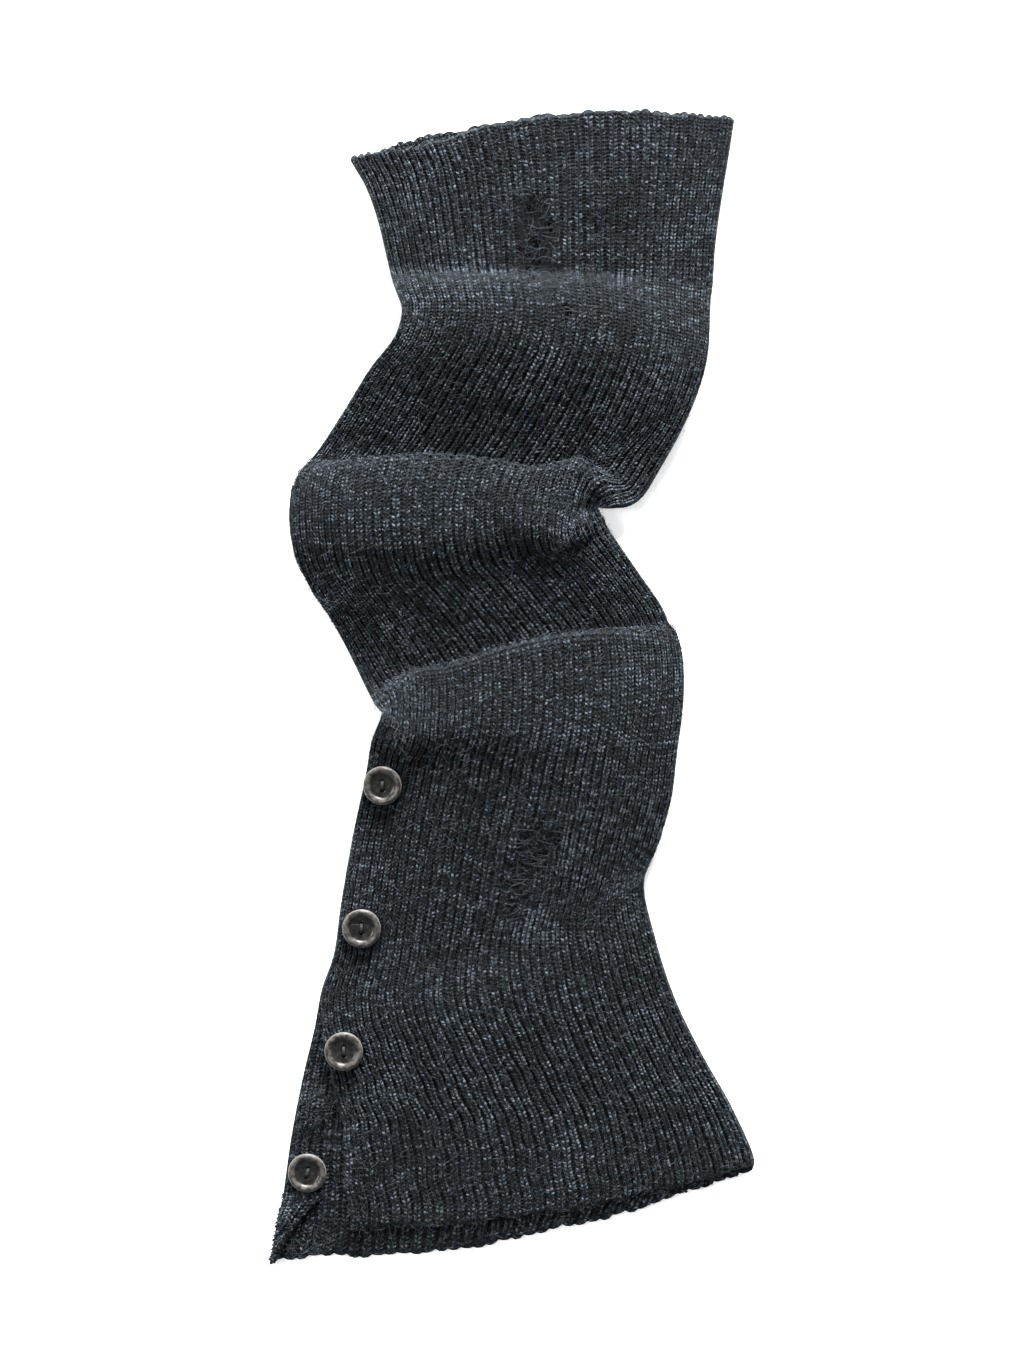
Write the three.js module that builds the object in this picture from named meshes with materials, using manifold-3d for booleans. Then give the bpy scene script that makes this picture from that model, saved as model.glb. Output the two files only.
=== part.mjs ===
// A ribbed leg warmer laid out flat, in waves, with a buttoned slit at its lower left side.
// Millimetres, +Z up. +Y points to the knee opening and +X to the right of the laid-out piece.
// The origin is on the surface that the cloth lies on.

import * as THREE from 'three';
import { mergeVertices } from 'three/addons/utils/BufferGeometryUtils.js';
import Module from 'manifold-3d';

const wasm = await Module();
wasm.setup();

// Driving dimensions
const cloth = { wall: 1.8, ribRise: 0.7, seamGap: 0.3, ribs: 38, edgeRound: 2.2, restBand: 0.8 };
const middleHeight = cloth.wall + cloth.seamGap / 2;

// How finely the walls are divided: the longest step along the tube, the ribs near each side fold that a
// plain face follows one by one, its step in ribs between them, and the share across that rounds a side edge
const sampling = { sectionStep: 17, fineRibsLeft: 10, fineRibsRight: 6, coarseRibs: 4, edgeShare: 0.005 };
const ripSides = 10;
const holeSides = 8;
const seatSampling = 6;
const uStep = 0.004;
const tStep = 0.002;
const belowAll = -5;
const aboveAll = 40;

const button = { radius: 8.1, height: 3.1, holeRadius: 0.95, holeSpacing: 3.6, sides: 20 };

// The button's profile from the middle of its back round the rim to the dish, as shares of radius and height
const buttonProfile = [
  [0, 0], [0.62, 0], [0.93, 0.32], [1, 0.6], [0.96, 0.85], [0.86, 1], [0.72, 0.9], [0.56, 0.62], [0, 0.55],
];

// Sections across the tube, from the knee opening down to the hem. Each runs from the left side fold to the
// right one. bow lifts its middle toward +Y, and the reaches lift it near one end. The rises are the height
// of the wave there above cloth that lies flat. open is how far in the front's free edge lies at the slit.
const leftReachAt = 0.1;
const rightReachAt = 0.89;
const reachWidth = 0.1;
const sectionColumns = [
  'name', 'leftX', 'leftY', 'rightX', 'rightY', 'bow', 'leftReach', 'rightReach',
  'leftRise', 'middleRise', 'rightRise', 'open',
];
const sectionRows = [
  ['opening', -68, 222, 93.5, 239, 10, 0, 0, 0, 0, 0, 0],
  ['neck_a', -61.5, 211, 91, 223, 6, 0, 0, 0, 0.3, 0, 0],
  ['neck_b', -56.5, 197, 88, 204.5, 2.5, 0, 0, 0, 0.3, 0, 0],
  ['neck_c', -53, 182.5, 85.5, 186, 1, 0, 0, 0, 0, 0, 0],
  ['fold1_foot', -51, 174, 84.5, 170, 2, 0, 0, 0.3, 0.3, 0, 0],
  ['fold1_face', -50, 170.5, 83.5, 162.5, 4, 0, 0, 4, 5, 1, 0],
  ['fold1_lip', -48.5, 166, 83, 155, 6, 0, 0, 8, 9, 3, 0],
  ['fold1_top', -46, 158.5, 82.5, 144.5, 5, 0, 0, 11, 12, 6, 0],
  ['slope1_a', -48.5, 148, 81, 134.5, 2.5, 0, 0, 11, 12, 7, 0],
  ['slope1_b', -59.5, 134, 77.5, 123, 0, 0, 0, 7, 9, 6, 0],
  ['slope1_c', -71, 116, 72, 110, 0, 0, 0, 3, 4.5, 4, 0],
  ['fold2_foot', -80, 102.5, 63, 93.5, 1, 0, 6, 0.5, 1, 2, 0],
  ['fold2_tuck', -85.5, 95, 54, 79.5, 3.5, 0, 7, 0.5, 0.5, 2, 0],
  ['fold2_under', -88.5, 90, 48, 76, 9, 0, 10.5, 5, 6, 5.5, 0],
  ['fold2_lip', -90.5, 86, 43.5, 75.5, 14.5, 0, 10.5, 9, 11, 9.5, 0],
  ['fold2_crest', -92.5, 79.5, 39, 75.5, 10, 0, 6, 11, 14.5, 10, 0],
  ['fold2_top', -93, 71, 36, 76, 1.5, 0, -3.5, 12, 16, 12, 0],
  ['fold2_fall', -92, 61.5, 35.5, 75, -6.5, 0, -7.5, 11.5, 15.2, 12, 0],
  ['fold2_hem', -90.5, 55, 37, 73, -9, 0, -7.5, 9.8, 12.3, 9.2, 0],
  ['fold3_foot', -88, 49.5, 39, 69.5, -10.5, 0, -5, 8, 9.8, 4.6, 0],
  ['slope3_a', -84.5, 42, 43.5, 62.5, -7.5, 0, -2.5, 6.7, 8, 3.6, 0],
  ['slope3_b', -77.5, 31.5, 53, 49, -5, 0, 0, 4.2, 5.3, 1.9, 0],
  ['slope3_c', -69.5, 17, 63, 34.5, -1.5, 0, 0, 1.4, 1.9, 0.3, 0],
  ['fold4_tuck', -60.5, -1.5, 67, 25.5, 4, 1.5, 0, 0.5, 0.5, 0.5, 0],
  ['fold4_under', -57, -7.5, 69, 23, 9, 5, 0, 5, 5, 3, 0],
  ['fold4_lip', -55, -9.5, 70, 19.5, 13.5, 6.5, 0, 9, 8.5, 5, 0],
  ['fold4_crest', -54, -10.5, 71.5, 13.5, 6.5, 2.5, 0, 11, 10.5, 6.5, 0],
  ['fold4_top', -54.5, -10.5, 72, 0, -3.5, -3.5, 0, 12, 12, 8, 0],
  ['fold4_fall', -55, -12.5, 71, -13, -5, -6, 0, 12, 12, 8.5, 0],
  ['fold4_hem', -56.5, -16, 69.5, -23.5, -5, -6, 0, 8.8, 10.8, 8.2, 0],
  ['panel_top', -59, -22.5, 68.5, -32.5, -4, -3.5, 0, 4.6, 9, 7.4, 0],
  ['panel_a', -61.5, -36.5, 67, -45, -2.5, 0, 0, 2.8, 7.2, 6.4, 0],
  ['panel_b', -67, -62, 63.5, -58.5, -4, 0, 0, 1.4, 4.8, 4, 0],
  ['panel_c', -72, -91, 59, -70.5, -12.5, 0, 0, 0.8, 1.5, 0.5, 0],
  ['dip', -75, -112, 55.5, -82, -13.5, 0, 0, 0.3, 0.3, 0.3, 0],
  ['rise', -80, -126.5, 60, -104, -12, 0, 0, 0.6, 1.8, 1.4, 0.5],
  ['skirt_top', -83, -142.5, 68, -129, -7.5, 0, 0, 0.6, 1.8, 1.6, 4],
  ['skirt_a', -88, -163.5, 79, -152, -5, 0, 0, 0.3, 1, 1, 15],
  ['skirt_b', -93, -189.5, 93.5, -178, -4, 0, 0, 0, 0.4, 0.4, 24.5],
  ['front_hem', -98, -225, 102, -199, -10, -2, 0, 0, 0, 0, 31],
  ['back_hem', -101.5, -241.5, 101, -202, -9.5, 3.5, 0, 0, 0, 0, 31],
];

// Pinches of the side folds, where the waves sink: place, reaches and the share of height lost
const pinches = [
  { x: 36, y: 76, reachX: 10, reachY: 7.5, loss: 0.75 },
  { x: -54, y: -11, reachX: 8, reachY: 8, loss: 0.15 },
];

// Puckers that lift the cloth locally: place, half widths and rise
const puckers = [
  { x: -82.5, y: -177, halfX: 9.5, halfY: 16, rise: 3.4 },
  { x: 37, y: 207, halfX: 22, halfY: 18, rise: 1.0 },
];

// The knee edge of the front dips below the back's, left of the middle
const openingDip = { at: 0.27, halfWidth: 0.13, depth: 3.2 };

// Rips through the front: middle, length, width and lean from +X in degrees
const ripColumns = ['x', 'y', 'length', 'width', 'lean'];
const ripRows = [
  [7, 200.5, 6, 4.4, 60],
  [16, 194, 5.5, 4.2, 10],
  [9, 185.5, 11, 4.4, 50],
  [8.5, 177, 10, 4.2, 50],
  [22.5, 157.5, 5.5, 4.2, 150],
  [4.5, -64.5, 8, 4.4, 100],
  [18.5, -62.5, 8, 4.2, 80],
  [11.5, -71, 7, 4.2, 30],
  [3, -77.5, 9, 4.4, 85],
  [-0.5, -93.5, 7, 4.2, 60],
];

// The turned-over border of the underlap, from button 4 down to the tip of the hem
const turnedColumns = ['outerX', 'outerY', 'innerX', 'innerY', 'height'];
const turnedRows = [
  [-96, -212.5, -79, -212, 0.9],
  [-97, -217, -82, -216, 1.9],
  [-98.5, -222, -88, -222.5, 2.3],
  [-99.7, -229, -93.5, -230, 2.2],
  [-101, -236.5, -97.5, -237.5, 1.8],
  [-102, -242.3, -100.5, -241.8, 1.0],
];

// Buttons: middle and turn of their two holes from +Y in degrees. The last is sewn to the underlap alone.
const buttonRows = [
  { name: 'button_1', x: -54, y: -40.5, turn: 0, onFront: true },
  { name: 'button_2', x: -63, y: -100.5, turn: 0, onFront: true },
  { name: 'button_3', x: -70.5, y: -152, turn: 0, onFront: true },
  { name: 'button_4', x: -86, y: -203.5, turn: -14, onFront: false },
];

const knit = new THREE.MeshStandardMaterial({ color: 0x35393d, roughness: 0.95, metalness: 0 });
const horn = new THREE.MeshStandardMaterial({ color: 0x8a857d, roughness: 0.3, metalness: 0.1 });

function readTable(columns, rows) {
  return rows.map((row) => Object.fromEntries(columns.map((column, i) => [column, row[i]])));
}

const sections = readTable(sectionColumns, sectionRows);
const rips = readTable(ripColumns, ripRows);
const turned = readTable(turnedColumns, turnedRows);
const frontHem = sections.findIndex((section) => section.name === 'front_hem');

function bell(distance) {
  return Math.exp(-distance * distance);
}

// A bump along a section that is 1 at its peak and 0 at both ends
function reachShape(u, peak) {
  return bell((u - peak) / reachWidth) * (1 - Math.abs(2 * u - 1) ** 12);
}

// One section's point at u, which is 0 at the left side fold and 1 at the right one
function sectionPoint(section, u) {
  const x = THREE.MathUtils.lerp(section.leftX, section.rightX, u);
  const chordY = THREE.MathUtils.lerp(section.leftY, section.rightY, u);
  const y = chordY + section.bow * 4 * u * (1 - u)
    + section.leftReach * reachShape(u, leftReachAt) + section.rightReach * reachShape(u, rightReachAt);
  let rise = section.leftRise * (1 - u) * (1 - 2 * u) + section.middleRise * 4 * u * (1 - u)
    + section.rightRise * u * (2 * u - 1);
  for (const pinch of pinches) {
    const away = Math.hypot((x - pinch.x) / pinch.reachX, (y - pinch.y) / pinch.reachY);
    rise *= 1 - pinch.loss * bell(away);
  }
  return new THREE.Vector3(x, y, middleHeight + Math.max(rise, 0));
}

// The rib line at u, a smooth curve through every section
function ribLine(u) {
  const points = sections.map((section) => sectionPoint(section, u));
  return new THREE.CatmullRomCurve3(points, false, 'centripetal');
}

// Stations along the tube, as curve parameters: every section, and one or more between distant ones
function stations() {
  const middle = sections.map((section) => sectionPoint(section, 0.5));
  const list = [{ t: 0, section: 0 }];
  for (let i = 1; i < sections.length; i += 1) {
    const steps = Math.ceil(middle[i].distanceTo(middle[i - 1]) / sampling.sectionStep);
    for (let k = 1; k <= steps; k += 1) {
      const section = i - 1 + k / steps;
      list.push({ t: section / (sections.length - 1), section });
    }
  }
  return list;
}

// The ribs stand closer beside the side folds, where the cloth turns away, and even out toward the hem
const crowding = { most: 0.3, evenFrom: sections.findIndex((section) => section.name === 'rise') };

function gather(share, station) {
  const last = sections.length - 1;
  const toHem = Math.max(station.section - crowding.evenFrom, 0) / (last - crowding.evenFrom);
  return share - (crowding.most * (1 - toHem) * Math.sin(2 * Math.PI * share)) / (2 * Math.PI);
}

// How far in the front starts, as a share of the width: a smooth curve through the sections' own shares
const openCurve = new THREE.SplineCurve(sections.map((section, i) => (
  new THREE.Vector2(i, section.open / (section.rightX - section.leftX))
)));

function openShare(section) {
  return Math.max(openCurve.getPoint(section / (sections.length - 1)).y, 0);
}

const lineCache = new Map();

function cachedLine(u) {
  const key = u.toFixed(5);
  if (!lineCache.has(key)) {
    lineCache.set(key, ribLine(u));
  }
  return lineCache.get(key);
}

// A point of the middle surface, puckers included
function middlePoint(u, t) {
  const point = cachedLine(u).getPoint(t);
  for (const pucker of puckers) {
    const away = Math.hypot((point.x - pucker.x) / pucker.halfX, (point.y - pucker.y) / pucker.halfY);
    point.z += pucker.rise * Math.max(1 - away * away, 0) ** 2;
  }
  return point;
}

// The tube's middle surface and its upward normal at a share of the way across
function middleSurface(share, station) {
  const { t } = station;
  const u = gather(share, station);
  const across = middlePoint(Math.min(u + uStep, 1), t).sub(middlePoint(Math.max(u - uStep, 0), t));
  const down = middlePoint(u, Math.min(t + tStep, 1)).sub(middlePoint(u, Math.max(t - tStep, 0)));
  return { point: middlePoint(u, t), normal: down.cross(across).normalize() };
}

// Rounds a wall off over the last millimetres before a side edge
function edgeFactor(distance) {
  const share = Math.min(distance / cloth.edgeRound, 1);
  return Math.sqrt(1 - (1 - share) ** 2);
}

// Closes a wall between an upper and a lower net of points. A net is a list of rows from +Y to -Y. A row's
// points run from -X to +X at its shares of the way across, and both nets share their first and last points.
function wallGeometry(upper, lower) {
  const positions = [];
  const indices = [];
  const add = (point) => positions.push(point.x, point.y, point.z) / 3 - 1;
  const upperRows = upper.map(({ shares, points }) => ({ shares, ids: points.map(add) }));
  const lowerRows = lower.map(({ shares, points }, i) => {
    const inner = points.slice(1, -1).map(add);
    return { shares, ids: [upperRows[i].ids[0], ...inner, upperRows[i].ids.at(-1)] };
  });
  const zip = (near, far, facingUp) => {
    let i = 0;
    let j = 0;
    while (i + 1 < near.ids.length || j + 1 < far.ids.length) {
      const moveNear = j + 1 >= far.ids.length
        || (i + 1 < near.ids.length && near.shares[i + 1] < far.shares[j + 1]);
      const third = moveNear ? near.ids[i + 1] : far.ids[j + 1];
      const triangle = [near.ids[i], far.ids[j], third];
      if (new Set(triangle).size === 3) {
        indices.push(...(facingUp ? triangle : triangle.reverse()));
      }
      i += moveNear ? 1 : 0;
      j += moveNear ? 0 : 1;
    }
  };
  for (let row = 0; row + 1 < upperRows.length; row += 1) {
    zip(upperRows[row], upperRows[row + 1], true);
    zip(lowerRows[row], lowerRows[row + 1], false);
  }
  zip(lowerRows[0], upperRows[0], true);
  zip(upperRows.at(-1), lowerRows.at(-1), true);
  const geometry = new THREE.BufferGeometry();
  geometry.setAttribute('position', new THREE.Float32BufferAttribute(positions, 3));
  geometry.setIndex(indices);
  return geometry;
}

// Columns across the front's outside: two for each rib, its ridge and the groove beside it
function ribShares() {
  const shares = [0, sampling.edgeShare];
  for (let k = 0; k < cloth.ribs; k += 1) {
    shares.push((k + 0.5) / cloth.ribs);
    if (k + 1 < cloth.ribs) {
      shares.push((k + 1) / cloth.ribs);
    }
  }
  shares.push(1 - sampling.edgeShare, 1);
  return shares;
}

// Columns across a plain side: at every groove near the side folds, and wider apart in the middle
function plainShares() {
  const shares = [0];
  let k = 1;
  while (k < cloth.ribs) {
    shares.push(k / cloth.ribs);
    const fine = k < sampling.fineRibsLeft || k >= cloth.ribs - sampling.fineRibsRight;
    k = fine ? k + 1 : Math.min(k + sampling.coarseRibs, cloth.ribs - sampling.fineRibsRight);
  }
  shares.push(1);
  return shares;
}

function isRidge(share) {
  const phase = (share * cloth.ribs) % 1;
  return Math.abs(phase - 0.5) < 0.01;
}

const stationList = stations();

// The same surface as the front uses it: from its free edge at the slit, and with its dip at the opening
function frontSurface(share, station) {
  const start = openShare(station.section);
  const surface = middleSurface(start + share * (1 - start), station);
  if (station.section === 0) {
    surface.point.y -= openingDip.depth * bell((share - openingDip.at) / openingDip.halfWidth);
  }
  return surface;
}

function sectionWidth(station) {
  const low = sections[Math.floor(station.section)];
  return low.rightX - low.leftX;
}

// One row of a wall's face, with the distance of each point from the middle surface worked out by lift
function faceRow(surface, station, shares, lift) {
  const points = shares.map((share) => {
    const { point, normal } = surface(share, station);
    const fromEdge = Math.min(share, 1 - share) * sectionWidth(station);
    return point.addScaledVector(normal, lift(share, fromEdge));
  });
  return { shares, points };
}

function frontWall() {
  const rows = stationList.filter((station) => station.section <= frontHem);
  const ribbed = ribShares();
  const plain = plainShares();
  const inside = cloth.seamGap / 2;
  const outerLift = (share, fromEdge) => inside + cloth.wall * edgeFactor(fromEdge)
    + (isRidge(share) ? cloth.ribRise : 0);
  const upper = rows.map((station) => faceRow(frontSurface, station, ribbed, outerLift));
  const lower = rows.map((station, i) => {
    const atHem = i === 0 || i === rows.length - 1;
    return faceRow(frontSurface, station, atHem ? ribbed : plain, () => inside);
  });
  return wallGeometry(upper, lower);
}

// Lowers points that are nearly on the surface onto it, so that the underside rests flat
function restOnSurface(height) {
  const band = cloth.restBand;
  return height <= band ? 0 : height - band * Math.exp(1 - height / band);
}

function backWall() {
  const shares = plainShares();
  const outside = cloth.seamGap / 2;
  const underLift = (share, fromEdge) => -outside - cloth.wall * edgeFactor(fromEdge);
  const upper = stationList.map((station) => faceRow(middleSurface, station, shares, () => -outside));
  const lower = stationList.map((station) => faceRow(middleSurface, station, shares, underLift));
  for (const point of lower.flatMap((row) => row.points)) {
    point.z = restOnSurface(point.z);
  }
  return wallGeometry(upper, lower);
}

function toManifold(geometry) {
  const mesh = new wasm.Mesh({
    numProp: 3,
    vertProperties: new Float32Array(geometry.attributes.position.array),
    triVerts: new Uint32Array(geometry.index.array),
  });
  return new wasm.Manifold(mesh);
}

function fromManifold(solid) {
  const mesh = solid.getMesh();
  const geometry = new THREE.BufferGeometry();
  geometry.setAttribute('position', new THREE.Float32BufferAttribute(mesh.vertProperties, 3));
  geometry.setIndex(Array.from(mesh.triVerts));
  return geometry;
}

// A closed upright prism over an outline that runs counter-clockwise
function prism(outline, bottom, top) {
  const count = outline.length;
  const positions = [bottom, top].flatMap((z) => outline.flatMap(([x, y]) => [x, y, z]));
  const indices = [];
  for (let i = 0; i < count; i += 1) {
    const next = (i + 1) % count;
    indices.push(i, next, count + next, i, count + next, count + i);
    if (i > 0 && i + 1 < count) {
      indices.push(0, i + 1, i, count, count + i, count + i + 1);
    }
  }
  const geometry = new THREE.BufferGeometry();
  geometry.setAttribute('position', new THREE.Float32BufferAttribute(positions, 3));
  geometry.setIndex(indices);
  return geometry;
}

function ellipse(x, y, length, width, lean, sides) {
  const angle = THREE.MathUtils.degToRad(lean);
  return Array.from({ length: sides }, (_, i) => {
    const around = (i / sides) * Math.PI * 2;
    const along = (length / 2) * Math.cos(around);
    const aside = (width / 2) * Math.sin(around);
    return [
      x + along * Math.cos(angle) - aside * Math.sin(angle),
      y + along * Math.sin(angle) + aside * Math.cos(angle),
    ];
  });
}

function front() {
  let solid = toManifold(frontWall());
  for (const rip of rips) {
    const outline = ellipse(rip.x, rip.y, rip.length, rip.width, rip.lean, ripSides);
    solid = solid.subtract(toManifold(prism(outline, belowAll, aboveAll)));
  }
  return fromManifold(solid);
}

// The middle surface under a button: its mean slope, and the lowest plane across that slope that clears the
// cloth when the cloth's face is outset from the middle surface
function seatUnder(place, outset) {
  const samples = [];
  const count = (sections.length - 1) * seatSampling;
  for (let i = 0; i <= count; i += 1) {
    const station = { t: i / count, section: i / seatSampling };
    for (let k = 0; k <= cloth.ribs; k += 1) {
      const surface = middleSurface(k / cloth.ribs, station);
      if (Math.hypot(surface.point.x - place.x, surface.point.y - place.y) < button.radius) {
        samples.push(surface);
      }
    }
  }
  const normal = new THREE.Vector3();
  samples.forEach((sample) => normal.add(sample.normal));
  normal.normalize();
  const reach = samples.map(({ point }) => normal.dot(point));
  const level = Math.max(...reach) + outset + cloth.seamGap;
  const height = (level - normal.x * place.x - normal.y * place.y) / normal.z;
  return { point: new THREE.Vector3(place.x, place.y, height), normal };
}

// The border that is turned over: a half-round strip that tapers to the tip, on the back's upper face
function turnedEdge() {
  const profile = [0, 0.08, 0.3, 0.62, 0.88, 1];
  const bottom = middleHeight + cloth.seamGap / 2;
  const stripRow = (row, shares, lift) => ({
    shares,
    points: shares.map((share) => new THREE.Vector3(
      THREE.MathUtils.lerp(row.outerX, row.innerX, share),
      THREE.MathUtils.lerp(row.outerY, row.innerY, share),
      bottom + lift(row, share),
    )),
  });
  const arch = (row, share) => row.height * Math.sqrt(1 - (2 * share - 1) ** 2);
  return wallGeometry(
    turned.map((row) => stripRow(row, profile, arch)),
    turned.map((row) => stripRow(row, profile, () => 0)),
  );
}

// A dished two-hole button with a raised round rim, standing on z = 0 on a slightly domed back
function buttonGeometry() {
  const { radius, height, holeRadius, holeSpacing, sides } = button;
  const profile = buttonProfile.map(([across, up]) => new THREE.Vector2(across * radius, up * height));
  const lathe = mergeVertices(new THREE.LatheGeometry(profile, sides)
    .deleteAttribute('normal').deleteAttribute('uv'));
  lathe.rotateX(Math.PI / 2);
  let solid = toManifold(lathe);
  for (const side of [-1, 1]) {
    const hole = ellipse(0, (side * holeSpacing) / 2, 2 * holeRadius, 2 * holeRadius, 0, holeSides);
    solid = solid.subtract(toManifold(prism(hole, belowAll, aboveAll)));
  }
  return fromManifold(solid);
}

const group = new THREE.Group();

function addMesh(name, geometry, material) {
  const mesh = new THREE.Mesh(geometry, material);
  mesh.name = name;
  group.add(mesh);
  return mesh;
}

addMesh('front', front(), knit);
addMesh('back', backWall(), knit);
addMesh('turned_edge', turnedEdge(), knit);

const up = new THREE.Vector3(0, 0, 1);
const frontFace = cloth.seamGap / 2 + cloth.wall + cloth.ribRise;
const backFace = -cloth.seamGap / 2;
for (const place of buttonRows) {
  const seat = seatUnder(place, place.onFront ? frontFace : backFace);
  const mesh = addMesh(place.name, buttonGeometry(), horn);
  mesh.position.copy(seat.point);
  mesh.quaternion.setFromUnitVectors(up, seat.normal);
  mesh.rotateZ(THREE.MathUtils.degToRad(place.turn));
}

export default group;
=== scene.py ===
# %% [markdown]
# A ribbed leg warmer lies on a pale floor in soft waves. It is a flattened tube of rib knit in heathered
# charcoal wool, with two worn rips and a slit at the lower left that four horn buttons close.
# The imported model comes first, because every piece below takes its place and its size.

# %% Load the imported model
import math

import bmesh
import bpy
import numpy as np
from mathutils import Matrix, Vector


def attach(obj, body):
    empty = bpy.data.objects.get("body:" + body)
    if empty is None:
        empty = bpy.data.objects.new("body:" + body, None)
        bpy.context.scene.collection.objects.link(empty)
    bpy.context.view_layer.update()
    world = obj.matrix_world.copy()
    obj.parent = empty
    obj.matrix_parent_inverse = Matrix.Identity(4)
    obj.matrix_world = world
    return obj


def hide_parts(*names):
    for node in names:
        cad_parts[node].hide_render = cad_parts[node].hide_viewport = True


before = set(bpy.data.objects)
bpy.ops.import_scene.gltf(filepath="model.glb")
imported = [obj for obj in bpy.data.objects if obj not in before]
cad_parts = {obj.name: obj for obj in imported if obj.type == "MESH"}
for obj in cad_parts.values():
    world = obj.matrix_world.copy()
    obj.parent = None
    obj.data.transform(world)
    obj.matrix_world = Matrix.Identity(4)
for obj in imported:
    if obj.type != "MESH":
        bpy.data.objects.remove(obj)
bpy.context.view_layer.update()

MM = 0.001
random = np.random.default_rng(7)
print("nodes", sorted(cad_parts))

# %% [markdown]
# The waves of a cloth that was laid out by hand follow no formula, so they are written down as sections.
# Each row is one line across the tube from its left side fold to its right one: where the two ends are,
# how far its middle bows toward the knee, how far it reaches out near each end, how high the wave is at the
# left, in the middle and at the right, and how far in the front's free edge lies at the slit. Millimetres.

# %% Sections from the knee opening down to the hem
sections = [
    ("opening", -68, 222, 93.5, 239, 10, 0, 0, 0, 0, 0, 0),
    ("neck_a", -61.5, 211, 91, 223, 6, 0, 0, 0, 0.3, 0, 0),
    ("neck_b", -56.5, 197, 88, 204.5, 2.5, 0, 0, 0, 0.3, 0, 0),
    ("neck_c", -53, 182.5, 85.5, 186, 1, 0, 0, 0, 0, 0, 0),
    ("fold1_foot", -51, 174, 84.5, 170, 2, 0, 0, 0.3, 0.3, 0, 0),
    ("fold1_face", -50, 170.5, 83.5, 162.5, 4, 0, 0, 4, 5, 1, 0),
    ("fold1_lip", -48.5, 166, 83, 155, 6, 0, 0, 8, 9, 3, 0),
    ("fold1_top", -46, 158.5, 82.5, 144.5, 5, 0, 0, 11, 12, 6, 0),
    ("slope1_a", -48.5, 148, 81, 134.5, 2.5, 0, 0, 11, 12, 7, 0),
    ("slope1_b", -59.5, 134, 77.5, 123, 0, 0, 0, 7, 9, 6, 0),
    ("slope1_c", -71, 116, 72, 110, 0, 0, 0, 3, 4.5, 4, 0),
    ("fold2_foot", -80, 102.5, 63, 93.5, 1, 0, 6, 0.5, 1, 2, 0),
    ("fold2_tuck", -85.5, 95, 54, 79.5, 3.5, 0, 7, 0.5, 0.5, 2, 0),
    ("fold2_under", -88.5, 90, 48, 76, 9, 0, 10.5, 5, 6, 5.5, 0),
    ("fold2_lip", -90.5, 86, 43.5, 75.5, 14.5, 0, 10.5, 9, 11, 9.5, 0),
    ("fold2_crest", -92.5, 79.5, 39, 75.5, 10, 0, 6, 11, 14.5, 10, 0),
    ("fold2_top", -93, 71, 36, 76, 1.5, 0, -3.5, 12, 16, 12, 0),
    ("fold2_fall", -92, 61.5, 35.5, 75, -6.5, 0, -7.5, 11.5, 15.2, 12, 0),
    ("fold2_hem", -90.5, 55, 37, 73, -9, 0, -7.5, 9.8, 12.3, 9.2, 0),
    ("fold3_foot", -88, 49.5, 39, 69.5, -10.5, 0, -5, 8, 9.8, 4.6, 0),
    ("slope3_a", -84.5, 42, 43.5, 62.5, -7.5, 0, -2.5, 6.7, 8, 3.6, 0),
    ("slope3_b", -77.5, 31.5, 53, 49, -5, 0, 0, 4.2, 5.3, 1.9, 0),
    ("slope3_c", -69.5, 17, 63, 34.5, -1.5, 0, 0, 1.4, 1.9, 0.3, 0),
    ("fold4_tuck", -60.5, -1.5, 67, 25.5, 4, 1.5, 0, 0.5, 0.5, 0.5, 0),
    ("fold4_under", -57, -7.5, 69, 23, 9, 5, 0, 5, 5, 3, 0),
    ("fold4_lip", -55, -9.5, 70, 19.5, 13.5, 6.5, 0, 9, 8.5, 5, 0),
    ("fold4_crest", -54, -10.5, 71.5, 13.5, 6.5, 2.5, 0, 11, 10.5, 6.5, 0),
    ("fold4_top", -54.5, -10.5, 72, 0, -3.5, -3.5, 0, 12, 12, 8, 0),
    ("fold4_fall", -55, -12.5, 71, -13, -5, -6, 0, 12, 12, 8.5, 0),
    ("fold4_hem", -56.5, -16, 69.5, -23.5, -5, -6, 0, 8.8, 10.8, 8.2, 0),
    ("panel_top", -59, -22.5, 68.5, -32.5, -4, -3.5, 0, 4.6, 9, 7.4, 0),
    ("panel_a", -61.5, -36.5, 67, -45, -2.5, 0, 0, 2.8, 7.2, 6.4, 0),
    ("panel_b", -67, -62, 63.5, -58.5, -4, 0, 0, 1.4, 4.8, 4, 0),
    ("panel_c", -72, -91, 59, -70.5, -12.5, 0, 0, 0.8, 1.5, 0.5, 0),
    ("dip", -75, -112, 55.5, -82, -13.5, 0, 0, 0.3, 0.3, 0.3, 0),
    ("rise", -80, -126.5, 60, -104, -12, 0, 0, 0.6, 1.8, 1.4, 0.5),
    ("skirt_top", -83, -142.5, 68, -129, -7.5, 0, 0, 0.6, 1.8, 1.6, 4),
    ("skirt_a", -88, -163.5, 79, -152, -5, 0, 0, 0.3, 1, 1, 15),
    ("skirt_b", -93, -189.5, 93.5, -178, -4, 0, 0, 0, 0.4, 0.4, 24.5),
    ("front_hem", -98, -225, 102, -199, -10, -2, 0, 0, 0, 0, 31),
    ("back_hem", -101.5, -241.5, 101, -202, -9.5, 3.5, 0, 0, 0, 0, 31),
]
section_names = [row[0] for row in sections]
section_values = np.array([row[1:] for row in sections])
last_section = len(sections) - 1
front_end = section_names.index("front_hem") / last_section
print(len(sections), "sections")

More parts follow.
